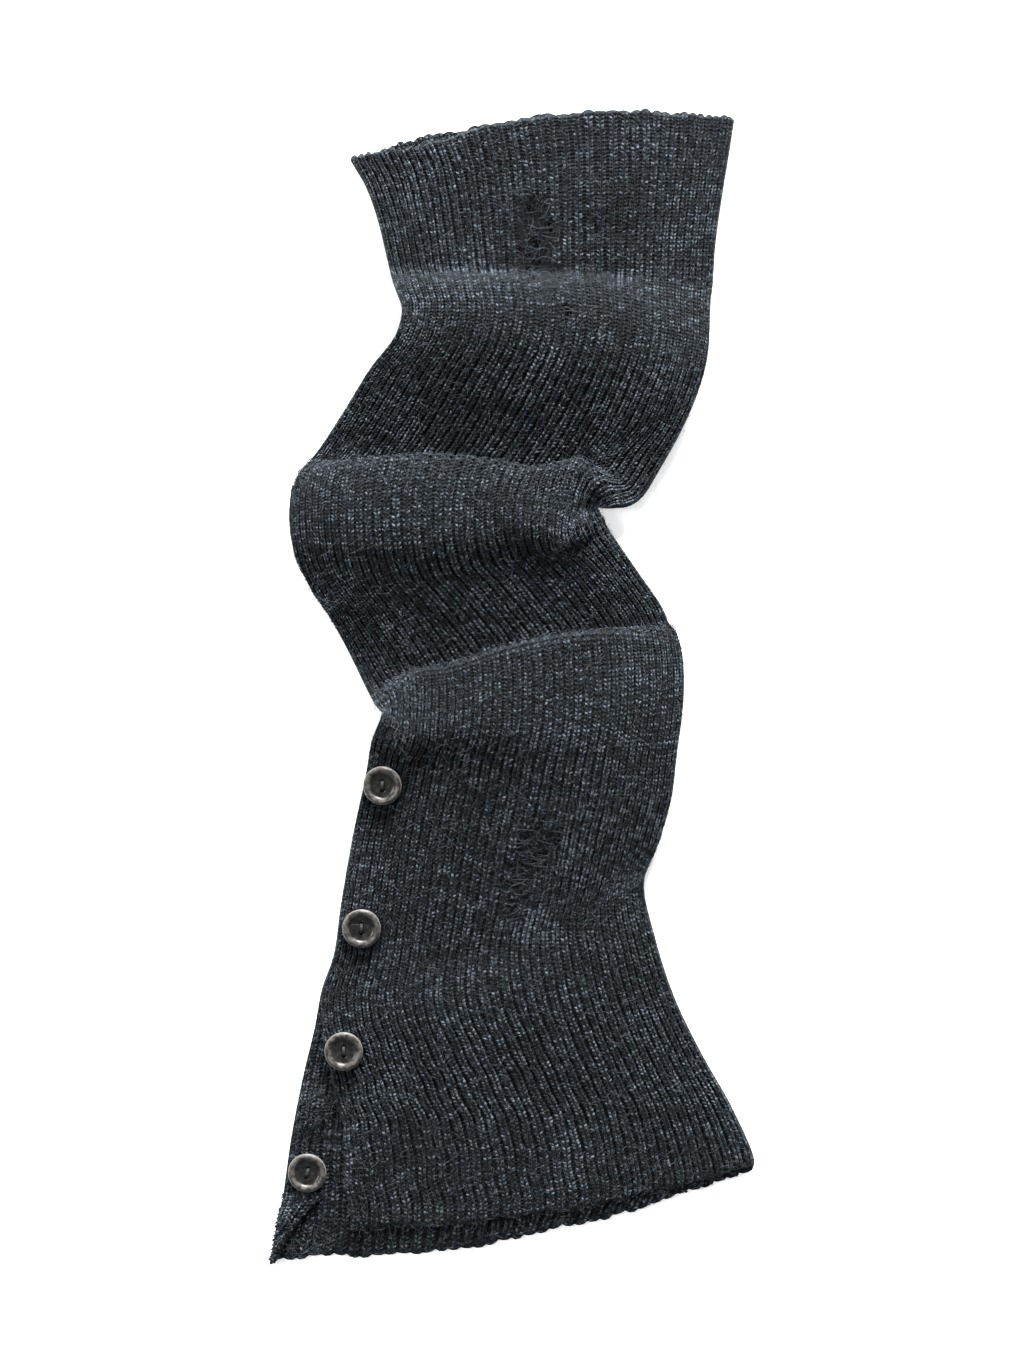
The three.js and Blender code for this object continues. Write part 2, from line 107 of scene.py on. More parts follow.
# %% Sizes of the knit, and the places where it is pinched or puckered
wall = 1.8
gap = 0.3
middle_height = wall + gap / 2
ribs = 38
edge_round = 2.2
rest_band = 0.8
pinches = [(36, 76, 10, 7.5, 0.75), (-54, -11, 8, 8, 0.15)]
puckers = [(-82.5, -177, 9.5, 16, 3.4), (37, 207, 22, 18, 1.0)]
opening_dip = (0.27, 0.13, 3.2)

# %% [markdown]
# A wave turns back on itself, so the cloth isn't a height over the floor. It is a surface with two
# coordinates: u runs from 0 at the left fold to 1 at the right one, and t from 0 at the knee to 1 at the
# hem.
# Every rib is one smooth curve through all the sections at its own u.


# %% One section's point at u
def reach_shape(u, peak):
    return np.exp(-(((u - peak) / 0.1) ** 2)) * (1 - np.abs(2 * u - 1) ** 12)


def section_point(index, u):
    row = np.moveaxis(section_values[index], -1, 0)
    left_x, left_y, right_x, right_y, bow, left_reach, right_reach = row[:7]
    left_rise, middle_rise, right_rise = row[7:10]
    x = left_x + (right_x - left_x) * u
    y = left_y + (right_y - left_y) * u + bow * 4 * u * (1 - u)
    y = y + left_reach * reach_shape(u, 0.1) + right_reach * reach_shape(u, 0.89)
    rise = left_rise * (1 - u) * (1 - 2 * u) + middle_rise * 4 * u * (1 - u)
    rise = rise + right_rise * u * (2 * u - 1)
    for pinch_x, pinch_y, reach_x, reach_y, loss in pinches:
        away = ((x - pinch_x) / reach_x) ** 2 + ((y - pinch_y) / reach_y) ** 2
        rise = rise * (1 - loss * np.exp(-away))
    return np.stack([x, y, middle_height + np.maximum(rise, 0)], -1)


# %% The middle of the wall between front and back, and its upward normal
def middle(u, t):
    u, t = np.broadcast_arrays(u, t)
    place = np.clip(t, 0, 1) * last_section
    index = np.minimum(np.floor(place).astype(int), last_section - 1)
    w = (place - index)[..., None]
    p1 = section_point(index, u)
    p2 = section_point(index + 1, u)
    before = section_point(np.maximum(index - 1, 0), u)
    after = section_point(np.minimum(index + 2, last_section), u)
    p0 = np.where((index > 0)[..., None], before, 2 * p1 - p2)
    p3 = np.where((index + 2 <= last_section)[..., None], after, 2 * p2 - p1)
    steps = (p1 - p0, p2 - p1, p3 - p2)
    d0, d1, d2 = (np.sqrt(np.linalg.norm(step, axis=-1, keepdims=True)) for step in steps)
    m1 = ((p1 - p0) / d0 - (p2 - p0) / (d0 + d1) + (p2 - p1) / d1) * d1
    m2 = ((p2 - p1) / d1 - (p3 - p1) / (d1 + d2) + (p3 - p2) / d2) * d1
    point = p1 + m1 * w + (3 * (p2 - p1) - 2 * m1 - m2) * w**2 + (2 * (p1 - p2) + m1 + m2) * w**3
    for x, y, half_x, half_y, rise in puckers:
        away = ((point[..., 0] - x) / half_x) ** 2 + ((point[..., 1] - y) / half_y) ** 2
        point[..., 2] += rise * np.maximum(1 - away, 0) ** 2
    return point


def middle_normal(u, t):
    across = middle(np.minimum(u + 0.004, 1), t) - middle(np.maximum(u - 0.004, 0), t)
    down = middle(u, np.minimum(t + 0.002, 1)) - middle(u, np.maximum(t - 0.002, 0))
    normal = np.cross(down, across)
    return normal / np.linalg.norm(normal, axis=-1, keepdims=True)


# %% Rows along the tube at even steps of cloth, and closer at both hems
def even_rows(count, end):
    dense = np.linspace(0, end, 4000)
    line = middle(np.linspace(0.1, 0.9, 9)[None, :], dense[:, None])
    steps = np.linalg.norm(np.diff(line, axis=0), axis=-1).mean(axis=1)
    length = np.concatenate([[0], np.cumsum(steps)])
    hem = np.array([0, 0.12, 0.4, 0.9, 1.6])
    inner = np.linspace(2.5, length[-1] - 2.5, count - 10)
    wanted = np.concatenate([hem, inner, length[-1] - hem[::-1]])
    return np.interp(wanted, length, dense), wanted


front_t, front_length = even_rows(260, front_end)
back_t, back_length = even_rows(150, 1.0)
print("cloth length, front and back, mm:", round(front_length[-1]), round(back_length[-1]))


# %% How far in the front starts beside the slit, as a share of the width
open_shares = section_values[:, 10] / (section_values[:, 2] - section_values[:, 0])


def open_share(t):
    place = np.clip(t, 0, 1) * last_section
    index = np.minimum(np.floor(place).astype(int), last_section - 1)
    w = place - index
    first, second = open_shares[index], open_shares[index + 1]
    slope = (second - open_shares[np.maximum(index - 1, 0)]) / 2
    next_slope = (open_shares[np.minimum(index + 2, last_section)] - first) / 2
    curve = first + slope * w + (3 * (second - first) - 2 * slope - next_slope) * w**2
    return np.maximum(curve + (2 * (first - second) + slope + next_slope) * w**3, 0)


def section_width(t):
    low = np.floor(np.clip(t, 0, 1) * last_section).astype(int)
    return section_values[low, 2] - section_values[low, 0]


# %% The ribs stand closer beside the side folds, where the cloth turns away, and even out toward the hem
crowding = 0.3
even_from = section_names.index("rise")


def gather(share, t):
    to_hem = np.clip((t * last_section - even_from) / (last_section - even_from), 0, 1)
    return share - crowding * (1 - to_hem) * np.sin(2 * math.pi * share) / (2 * math.pi)


# %% [markdown]
# Rib knit stands in round ridges with grooves between them. The wall is rounded off toward every edge,
# because knitted edges have no corners.


# %% The ridge profile and the rounded edges
def ridge(share):
    phase = (share * ribs) % 1
    return 1 - np.abs(2 * phase - 1) ** 1.8


def rounded(distance, over):
    share = np.clip(distance / over, 0, 1)
    return np.sqrt(1 - (1 - share) ** 2)


def rib_columns(phases):
    shares = [0, 0.002]
    for rib in range(ribs):
        shares += [(rib + phase) / ribs for phase in phases if rib + phase > 0]
    return np.array(shares + [0.998, 1])


front_phases = [0, 0.16, 0.36, 0.64, 0.84]
back_phases = [0, 0.3, 0.7]
fine_columns = rib_columns(front_phases)
back_columns = rib_columns(back_phases)
print(len(fine_columns), "columns across the front,", len(back_columns), "across the back")


# %% At a side fold the tube's two walls join, so the space between them closes there
def half_gap(u, t):
    return gap / 2 * np.clip(np.minimum(u, 1 - u) * section_width(t)[:, None] / 2, 0, 1)


# %% Hand-loomed ribs wander a little and vary in height
def wander(u, length):
    rib = u * ribs
    waves = np.sin(length * 0.105 + 1.7 * rib) + np.sin(length * 0.045 - 0.9 * rib + 1)
    waves = waves + 0.6 * np.sin(length * 0.21 + 2.9 * rib + 2)
    return 0.04 / ribs * waves * np.minimum(1, 12 * np.minimum(u, 1 - u))


def fullness(u, length):
    rib = u * ribs
    return 1 + 0.16 * np.sin(length * 0.08 + 2.3 * rib) + 0.12 * np.sin(length * 0.19 - 1.3 * rib)


# %% Two patches where the ribbing is worn away: middle, half length, half width, lean from +X in degrees
worn_patches = [(11.5, 186, 27, 9.5, 97), (6, -73, 24, 8.5, 74)]


def wear(points):
    share = np.zeros(points.shape[:-1])
    ragged = 0.13 * np.sin(points[..., 0] * 1.1 + points[..., 1] * 0.4) + 0.1 * np.sin(points[..., 1] * 0.9)
    for x, y, half_length, half_width, lean in worn_patches:
        turn = math.radians(lean)
        dx = points[..., 0] - x
        dy = points[..., 1] - y
        along = (dx * math.cos(turn) + dy * math.sin(turn)) / half_length
        aside = (dy * math.cos(turn) - dx * math.sin(turn)) / half_width
        share = np.maximum(share, np.clip(1.9 * (1 - np.hypot(along, aside) + ragged), 0, 1))
    return share


# %% Ragged edges: how far a hem runs out or in, fading into the cloth over a centimetre
def hem_wave(shares, distance, phase):
    waves = 0.55 * np.sin(shares * 21 + phase) + 0.4 * np.sin(shares * 53 + 2 * phase)
    waves = waves + 0.3 * np.sin(shares * 97 + 3 * phase)
    return waves[None, :] * np.clip(1 - distance / 9, 0, 1)[:, None] ** 2


# %% The outer face of the front, and the inner face of the back, at any share of the way across
groove_depth = 0.55
ridge_rise = 0.75
hem_round = 1.6
scallop = 0.7


def front_face(shares, t, length):
    edge_wave = 0.003 * np.sin(length * 0.16) + 0.0025 * np.sin(length * 0.37 + 1)
    start = (open_share(t) + edge_wave * (open_share(t) > 0.02))[:, None]
    u = gather(start + shares[None, :] * (1 - start), t[:, None])
    u = u + wander(u, length[:, None])
    point = middle(u, t[:, None])
    at, half_width, depth = opening_dip
    knee = np.clip(1 - length / 14, 0, 1)[:, None]
    point[..., 1] -= depth * np.exp(-(((shares - at) / half_width) ** 2)) * knee
    point[..., 1] += hem_wave(shares, length, 0.4) - hem_wave(shares, front_length[-1] - length, 2.1)
    normal = middle_normal(u, t[:, None])
    side = np.minimum(shares, 1 - shares) * section_width(t)[:, None]
    hem = np.minimum(length, front_length[-1] - length)[:, None]
    worn = wear(point)
    relief = ridge(shares) * (1 - 0.85 * worn) - 0.3 * worn
    thick = wall - groove_depth + (groove_depth + ridge_rise * fullness(u, length[:, None])) * relief
    inside = half_gap(u, t)
    lift = inside + thick * rounded(side, edge_round) * (0.35 + 0.65 * rounded(hem, hem_round))
    return point + normal * lift[..., None], normal, point + normal * inside[..., None]


def back_face(shares, t, length):
    u = gather(shares[None, :], t[:, None])
    point = middle(u, t[:, None])
    point[..., 1] += hem_wave(shares, length, 3.3) - hem_wave(shares, back_length[-1] - length, 5.2)
    normal = middle_normal(u, t[:, None])
    side = np.minimum(u, 1 - u) * section_width(t)[:, None]
    hem = np.minimum(length, back_length[-1] - length)[:, None]
    inside = half_gap(u, t)
    groove = 0.75 * (1 - ridge(shares)) * rounded(side, edge_round)
    under = inside + wall * rounded(side, edge_round) * (0.35 + 0.65 * rounded(hem, hem_round))
    return point - normal * (inside + groove)[..., None], normal, point - normal * under[..., None]


# %% A closed wall between an upper and a lower net
def net_faces(ids, facing_up):
    quads = np.stack([ids[:-1, :-1], ids[1:, :-1], ids[1:, 1:], ids[:-1, 1:]], -1).reshape(-1, 4)
    return quads if facing_up else quads[:, ::-1]


def end_faces(upper_ids, lower_ids, picks, at_knee):
    faces = []
    for k in range(len(picks) - 1):
        face = list(upper_ids[picks[k] : picks[k + 1] + 1]) + [lower_ids[k + 1], lower_ids[k]]
        face = list(dict.fromkeys(int(i) for i in face))
        if len(face) > 2:
            faces.append(face if at_knee else face[::-1])
    return faces


def mesh_object(name, vertices, faces, uv):
    mesh = bpy.data.meshes.new(name)
    mesh.from_pydata((vertices * MM).tolist(), [], faces)
    loops = np.empty(len(mesh.loops), dtype=np.int32)
    mesh.loops.foreach_get("vertex_index", loops)
    layer = mesh.uv_layers.new(name="knit")
    layer.data.foreach_set("uv", uv[loops].astype(np.float32).ravel())
    mesh.shade_smooth()
    piece = bpy.data.objects.new(name, mesh)
    bpy.context.collection.objects.link(piece)
    return piece


def wall_object(name, upper, lower, picks, upper_uv):
    rows, columns = upper.shape[:2]
    upper_ids = np.arange(rows * columns).reshape(rows, columns)
    inner = rows * columns + np.arange(rows * (len(picks) - 2)).reshape(rows, -1)
    lower_ids = np.concatenate([upper_ids[:, :1], inner, upper_ids[:, -1:]], axis=1)
    vertices = np.concatenate([upper.reshape(-1, 3), lower[:, picks[1:-1]].reshape(-1, 3)])
    uv = np.concatenate([upper_uv.reshape(-1, 2), upper_uv[:, picks[1:-1]].reshape(-1, 2)])
    faces = net_faces(upper_ids, True).tolist() + net_faces(lower_ids, False).tolist()
    faces += end_faces(upper_ids[0], lower_ids[0], picks, True)
    faces += end_faces(upper_ids[-1], lower_ids[-1], picks, False)
    return mesh_object(name, vertices, faces, uv)


def knit_uv(shares, length):
    return np.stack(np.broadcast_arrays(shares[None, :] * ribs, -length[:, None] / course), -1)


# %% The front, with its ridges outside and a plain inside
course = 1.5


def scalloped(upper, shares):
    for row, sign in ((0, 1), (-1, -1)):
        sizes = scallop * random.uniform(0.5, 1.7, ribs + 1)
        upper[row, :, 1] += sign * sizes[(shares * ribs).astype(int)] * ridge(shares)
    return upper


front_upper, front_normal, front_lower = front_face(fine_columns, front_t, front_length)
scalloped(front_upper, fine_columns)
step = len(front_phases)
inner_picks = [0, *range(1 + step, len(fine_columns) - 3, step), len(fine_columns) - 1]
front = wall_object("front_wall", front_upper, front_lower, inner_picks, knit_uv(fine_columns, front_length))
print("front", len(front.data.polygons), "faces")

# %% [markdown]
# The back is the same tube's lower wall. It shows its inner face beside the slit, below the front's hem and
# as a thin lip above the knee edge. It lies on the floor, so its underside is brought down flat there.


# %% The back, ribbed where it shows
def rest_flat(height):
    raised = height - rest_band * np.exp(1 - np.maximum(height, rest_band) / rest_band)
    return np.where(height <= rest_band, 0, raised)


back_upper, back_normal, back_lower = back_face(back_columns, back_t, back_length)
scalloped(back_upper, back_columns)
back_lower[..., 2] = rest_flat(back_lower[..., 2])
step = len(back_phases)
back_picks = [0, *range(1 + step, len(back_columns) - 3, step), len(back_columns) - 1]
back = wall_object("back_wall", back_upper, back_lower, back_picks, knit_uv(back_columns, back_length))
print("back", len(back.data.polygons), "faces")

# %% [markdown]
# Two stretches of the front are worn through. Each rip is a short row of holes, cut here with jagged
# outlines, and the loose yarn that still crosses them is laid on afterwards.

# %% Holes of the rips: middle, length, width and lean from +X in degrees
rips = [
    (7, 200.5, 6, 4.4, 60),
    (16, 194, 5.5, 4.2, 10),
    (9, 185.5, 11, 4.4, 50),
    (8.5, 177, 10, 4.2, 50),
    (22.5, 157.5, 5.5, 4.2, 150),
    (4.5, -64.5, 8, 4.4, 100),
    (18.5, -62.5, 8, 4.2, 80),
    (11.5, -71, 7, 4.2, 30),
    (3, -77.5, 9, 4.4, 85),
    (-0.5, -93.5, 7, 4.2, 60),
]


def rip_cutter(number, x, y, length, width, lean, sides=26, height=40):
    turn = math.radians(lean)
    jag = random.uniform(0.82, 1.22, sides)
    angles = np.arange(sides) / sides * 2 * math.pi
    along = length / 2 * np.cos(angles) * jag
    aside = width / 2 * np.sin(angles) * jag
    ring = np.stack([x + along * math.cos(turn) - aside * math.sin(turn),
                     y + along * math.sin(turn) + aside * math.cos(turn)], -1)
    vertices = [(*spot, z) for z in (-5, height) for spot in ring]
    faces = [[i, (i + 1) % sides, sides + (i + 1) % sides, sides + i] for i in range(sides)]
    faces += [list(range(sides))[::-1], list(range(sides, 2 * sides))]
    return mesh_object(f"rip_cutter_{number}", np.array(vertices), faces, np.zeros((2 * sides, 2)))


def cut(piece, cutters):
    joined = cutters[0]
    with bpy.context.temp_override(active_object=joined, selected_editable_objects=cutters):
        bpy.ops.object.join()
    modifier = piece.modifiers.new("cut", "BOOLEAN")
    modifier.operation = "DIFFERENCE"
    modifier.solver = "EXACT"
    modifier.object = joined
    evaluated = piece.evaluated_get(bpy.context.evaluated_depsgraph_get())
    mesh = bpy.data.meshes.new_from_object(evaluated)
    piece.modifiers.clear()
    piece.data = mesh
    bpy.data.objects.remove(joined)


cut(front, [rip_cutter(number, *rip) for number, rip in enumerate(rips)])
print("front with rips", len(front.data.polygons), "faces")

# %% [markdown]
# Everything finer than the walls is made by node trees, for geometry and for materials alike. One class adds
# any node, and its values take part in sums, so that the maths of a pattern reads as the maths it is.


# %% Node trees, and values that can be reckoned with
class Term:
    def __init__(self, tree, node, output=0):
        self.tree = tree
        self.node = node
        self.socket = node.outputs[output] if len(node.outputs) else None

    def out(self, name):
        return Term(self.tree, self.node, name)

    def maths(self, operation, *terms):
        return self.tree.add("ShaderNodeMath", {"operation": operation}, dict(enumerate(terms)))

    def __add__(self, other):
        return self.maths("ADD", self, other)

    def __sub__(self, other):
        return self.maths("SUBTRACT", self, other)

    def __rsub__(self, other):
        return self.maths("SUBTRACT", other, self)

    def __mul__(self, other):
        return self.maths("MULTIPLY", self, other)

    def __truediv__(self, other):
        return self.maths("DIVIDE", self, other)

    def __pow__(self, other):
        return self.maths("POWER", self, other)

    def __abs__(self):
        return self.maths("ABSOLUTE", self)

    __radd__ = __add__
    __rmul__ = __mul__

    def fraction(self):
        return self.maths("FRACT", self)

    def most(self, other):
        return self.maths("MAXIMUM", self, other)

    def between(self, low, high):
        limits = {"Value": self, "From Min": low, "From Max": high}
        return self.tree.add("ShaderNodeMapRange", {"interpolation_type": "SMOOTHSTEP"}, limits)


class Tree:
    def __init__(self, tree):
        self.nodes = tree.nodes
        self.links = tree.links

    def add(self, kind, settings=None, inputs=None):
        node = self.nodes.new(kind)
        for name, value in (settings or {}).items():
            if name == "stops":
                self.set_stops(node.color_ramp, value)
            else:
                setattr(node, name, value)
        for key, value in (inputs or {}).items():
            if isinstance(value, Term):
                self.links.new(value.socket, node.inputs[key])
            else:
                node.inputs[key].default_value = value
        return Term(self, node)

    def set_stops(self, ramp, stops):
        while len(ramp.elements) < len(stops):
            ramp.elements.new(0.5)
        for element, (place, colour) in zip(ramp.elements, stops):
            element.position = place
            element.color = (*colour, 1)

    def mixed(self, share, first, second):
        inputs = {0: share, 6: colour_of(first), 7: colour_of(second)}
        return self.add("ShaderNodeMix", {"data_type": "RGBA"}, inputs).out(2)

    def noise(self, vector, scale, detail=2.0, roughness=0.5):
        inputs = {"Vector": vector, "Scale": scale, "Detail": detail, "Roughness": roughness}
        return self.add("ShaderNodeTexNoise", None, inputs)


def colour_of(value):
    return value if isinstance(value, Term) else (*value, 1)


def new_material(name):
    material = bpy.data.materials.new(name)
    material.use_nodes = True
    shader = material.node_tree.nodes["Principled BSDF"]
    return material, Tree(material.node_tree), shader


# %% [markdown]
# The yarn is a heathered charcoal: dark wool with paler fibres spun in, so its tone changes from stitch to
# stitch and in broad soft clouds. The stitches of a rib are a column of small V shapes, and the groove
# between two ribs is nearly black, because little light reaches it. The pattern reads the piece's own UV
# map, whose first coordinate counts ribs and whose second one counts courses.


# %% The yarn's colour and its V stitches
def heather(tree, place):
    flecks = tree.noise(place, 1100, 2, 0.6)
    strands = tree.noise(place, 420, 3, 0.6)
    clouds = tree.noise(place, 38, 3, 0.55)
    return 0.9 * (flecks - 0.5) + 1.3 * (strands - 0.5) + 0.55 * (clouds - 0.5)


yarn_dark = (0.0010, 0.0015, 0.0020)
yarn_middle = (0.0088, 0.0122, 0.0158)
yarn_pale = (0.0960, 0.1150, 0.1340)


def yarn_colour(tree, tone):
    stops = [(0.0, yarn_dark), (0.45, yarn_middle), (1.0, yarn_pale)]
    return tree.add("ShaderNodeValToRGB", {"stops": stops}, {0: tone})


def soft_wool(shader):
    shader.inputs["Roughness"].default_value = 0.92
    shader.inputs["Specular IOR Level"].default_value = 0.1
    shader.inputs["Sheen Weight"].default_value = 0.08
    shader.inputs["Sheen Roughness"].default_value = 0.5
    shader.inputs["Sheen Tint"].default_value = (0.75, 0.82, 0.9, 1)


def worn_share(tree, place):
    x_y = tree.add("ShaderNodeSeparateXYZ", None, {0: place})
    most = None
    for x, y, half_length, half_width, lean in worn_patches:
        cosine, sine = math.cos(math.radians(lean)), math.sin(math.radians(lean))
        dx = x_y.out("X") - x * MM
        dy = x_y.out("Y") - y * MM
        along = (cosine * dx + sine * dy) / (half_length * MM)
        aside = (cosine * dy - sine * dx) / (half_width * MM)
        near = (1.1 - along * along - aside * aside).between(0, 0.7)
        most = near if most is None else most.most(near)
    return most


def rib_knit():
    material, tree, shader = new_material("charcoal_rib_knit")
    place = tree.add("ShaderNodeTexCoord").out("Object")
    uv = tree.add("ShaderNodeSeparateXYZ", None, {0: tree.add("ShaderNodeUVMap", {"uv_map": "knit"})})
    wander = tree.noise(place, 160, 2)
    off_centre = abs(2 * (uv + 0.10 * (wander - 0.5)).fraction() - 1)
    along = uv.out("Y") + 0.5 * (wander.out("Color") - 0.5) - 1.1 * off_centre
    strand = 1 - (2 * along.fraction() - 1) ** 2
    leg = (1 - ((off_centre - 0.36) / 0.36) ** 2).most(0)
    worn = worn_share(tree, place)
    stitch = strand * leg * (1 - worn)
    groove = off_centre.between(0.45, 0.8) * (1 - worn)
    bars = (2 * (uv.out("Y") + 0.6 * (wander.out("Color") - 0.5)).fraction() - 1) ** 2
    purl = groove * (1 - bars)
    tone = 0.10 + 0.3 * stitch + 1.1 * heather(tree, place) - 0.25 * groove + 0.2 * purl - 0.08 * worn
    tree.links.new(yarn_colour(tree, tone).socket, shader.inputs["Base Color"])
    fibres = tree.noise(place, 1500, 2, 0.7)
    height = 0.75 * stitch + 0.7 * purl + 0.6 * fibres
    bump = tree.add("ShaderNodeBump", None, {"Strength": 1.0, "Distance": 0.7 * MM, "Height": height})
    tree.links.new(bump.socket, shader.inputs["Normal"])
    soft_wool(shader)
    return material


def stitch_yarn():
    material, tree, shader = new_material("charcoal_yarn")
    place = tree.add("ShaderNodeTexCoord").out("Object")
    own = tree.add("ShaderNodeAttribute", {"attribute_name": "tone"}).out("Fac")
    tone = 0.12 + 0.56 * own + 1.5 * heather(tree, place)
    tree.links.new(yarn_colour(tree, tone).socket, shader.inputs["Base Color"])
    fibres = tree.noise(place, 2200, 2, 0.7)
    bump = tree.add("ShaderNodeBump", None, {"Strength": 0.6, "Distance": 0.3 * MM, "Height": fibres})
    tree.links.new(bump.socket, shader.inputs["Normal"])
    soft_wool(shader)
    return material


knit = rib_knit()
yarn = stitch_yarn()
for piece in (front, back):
    piece.data.materials.append(knit)

# %% [markdown]
# Front and back are one knitted tube, so they become one piece of two closed walls that meet along the side
# folds. The size of its flat knitting round the tube, the length of its ribs and the area of one wall are
# printed.


# %% One tube, and the size of its flat knitting
def join(pieces, name):
    with bpy.context.temp_override(active_object=pieces[0], selected_editable_objects=pieces):
        bpy.ops.object.join()
    pieces[0].name = name
    pieces[0].data.name = name
    return pieces[0]


def steps(points, axis):
    return np.linalg.norm(np.diff(points, axis=axis), axis=-1)


cut_net = middle(np.linspace(0, 1, 201)[None, :], np.linspace(0, 1, 401)[:, None])
round_mm = 2 * steps(cut_net, 1).sum(axis=1)
print("round the knee, the middle and the hem, mm", round_mm[0], round_mm.min(), round_mm[-1])
rib_mm = steps(cut_net, 0).sum(axis=0)
print("longest and shortest rib, mm", rib_mm.max(), rib_mm.min())
cells = np.cross(np.diff(cut_net, axis=1)[:-1], np.diff(cut_net, axis=0)[:, :-1])
print("one whole wall, square mm", np.linalg.norm(cells, axis=-1).sum())
tube = join([front, back], "knitted_tube")
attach(tube, "root")
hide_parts("front", "back")

# %% [markdown]
# Each V of the knit is two short plump legs of yarn. There are more than ten thousand of them on the front,
# so a leg has only eight faces, and Geometry Nodes set one V on each point of a net: one point for every
# course of every rib. The points carry the direction of the cloth's face and of the rib as attributes.


# %% A point cloud with directions, and a node group's named inputs
def points_object(name, points, **vectors):
    mesh = bpy.data.meshes.new(name)
    mesh.from_pydata((points * MM).tolist(), [], [])
    for key, values in vectors.items():
        attribute = mesh.attributes.new(key, "FLOAT_VECTOR", "POINT")
        attribute.data.foreach_set("vector", values.astype(np.float32).ravel())
    piece = bpy.data.objects.new(name, mesh)
    bpy.context.collection.objects.link(piece)
    return piece


def geometry_tree(name, inputs):
    group = bpy.data.node_groups.new(name, "GeometryNodeTree")
    group.interface.new_socket("Geometry", in_out="INPUT", socket_type="NodeSocketGeometry")
    group.interface.new_socket("Geometry", in_out="OUTPUT", socket_type="NodeSocketGeometry")
    for key, kind in inputs.items():
        group.interface.new_socket(key, in_out="INPUT", socket_type=kind)
    tree = Tree(group)
    return group, tree, tree.add("NodeGroupInput")


def grown(name, source, group, values):
    modifier = source.modifiers.new("grow", "NODES")
    modifier.node_group = group
    for item in group.interface.items_tree:
        if item.in_out == "INPUT" and item.name in values:
            modifier[item.identifier] = values[item.name]
    evaluated = source.evaluated_get(bpy.context.evaluated_depsgraph_get())
    mesh = bpy.data.meshes.new_from_object(evaluated)
    mesh.name = name
    piece = bpy.data.objects.new(name, mesh)
    bpy.context.collection.objects.link(piece)
    bpy.data.objects.remove(source)
    print(name, len(mesh.polygons), "faces")
    return piece


def attribute(tree, name):
    return tree.add("GeometryNodeInputNamedAttribute", {"data_type": "FLOAT_VECTOR"}, {"Name": name})


def vector_of(tree, x=0.0, y=0.0, z=0.0):
    return tree.add("ShaderNodeCombineXYZ", None, {0: x, 1: y, 2: z})


# %% The V stitch, set on every point
def stitch_tree():
    sizes = ("Leg Length", "Leg Width", "Leg Depth", "Spread", "Slant", "Tilt")
    kinds = {size: "NodeSocketFloat" for size in sizes}
    kinds |= {"Seed": "NodeSocketInt", "Yarn": "NodeSocketMaterial"}
    group, tree, given = geometry_tree("v_stitches", kinds)
    blob = tree.add("GeometryNodeMeshUVSphere", None, {"Segments": 4, "Rings": 2, "Radius": 0.5})
    size = vector_of(tree, given.out("Leg Width"), given.out("Leg Length"), given.out("Leg Depth"))
    legs = tree.add("GeometryNodeJoinGeometry")
    for side in (1, -1):
        turn = vector_of(tree, 0.0, side * given.out("Tilt"), -side * given.out("Slant"))
        place = vector_of(tree, side * given.out("Spread"))
        moved = {"Geometry": blob, "Translation": place, "Rotation": turn, "Scale": size}
        leg = tree.add("GeometryNodeTransform", None, moved)
        tree.links.new(leg.socket, legs.node.inputs[0])
    facing = tree.add(
        "FunctionNodeAlignRotationToVector", {"axis": "Z"}, {"Vector": attribute(tree, "upward")}
    )
    turned = tree.add(
        "FunctionNodeAlignRotationToVector",
        {"axis": "Y", "pivot_axis": "Z"},
        {"Rotation": facing, "Vector": attribute(tree, "along")},
    )
    seed = given.out("Seed")
    spread = tree.add("FunctionNodeRandomValue", None, {2: 0.8, 3: 1.2, "Seed": seed}).out(1)
    sway = tree.add("FunctionNodeRandomValue", None, {2: -0.3, 3: 0.3, "Seed": seed + 1}).out(1)
    swayed = tree.add("FunctionNodeAxisAngleToRotation", None, {"Axis": (0, 0, 1), "Angle": sway})
    local = {"Rotation": turned, "Rotate By": swayed}
    turned = tree.add("FunctionNodeRotateRotation", {"rotation_space": "LOCAL"}, local)
    own_size = {0: attribute(tree, "scaling"), "Scale": spread}
    scale = tree.add("ShaderNodeVectorMath", {"operation": "SCALE"}, own_size)
    placed = {"Points": given, "Instance": legs, "Rotation": turned, "Scale": scale}
    stitches = tree.add("GeometryNodeInstanceOnPoints", None, placed)
    tone = tree.add("FunctionNodeRandomValue", None, {2: 0.0, 3: 1.0, "Seed": seed + 2}).out(1)
    kept = {"Geometry": stitches, "Name": "tone", "Value": tone}
    toned = tree.add("GeometryNodeStoreNamedAttribute", {"domain": "INSTANCE"}, kept)
    real = tree.add("GeometryNodeRealizeInstances", None, {"Geometry": toned})
    smooth = tree.add("GeometryNodeSetShadeSmooth", None, {"Geometry": real})
    dyed = tree.add("GeometryNodeSetMaterial", None, {"Geometry": smooth, "Material": given.out("Yarn")})
    tree.add("NodeGroupOutput", None, {0: dyed})
    return group


v_stitches = stitch_tree()
stitch_sizes = {
    "Leg Length": 2.1 * MM,
    "Leg Width": 1.25 * MM,
    "Leg Depth": 0.95 * MM,
    "Spread": 0.86 * MM,
    "Slant": 0.5,
    "Tilt": 0.35,
    "Seed": 3,
    "Yarn": yarn,
}


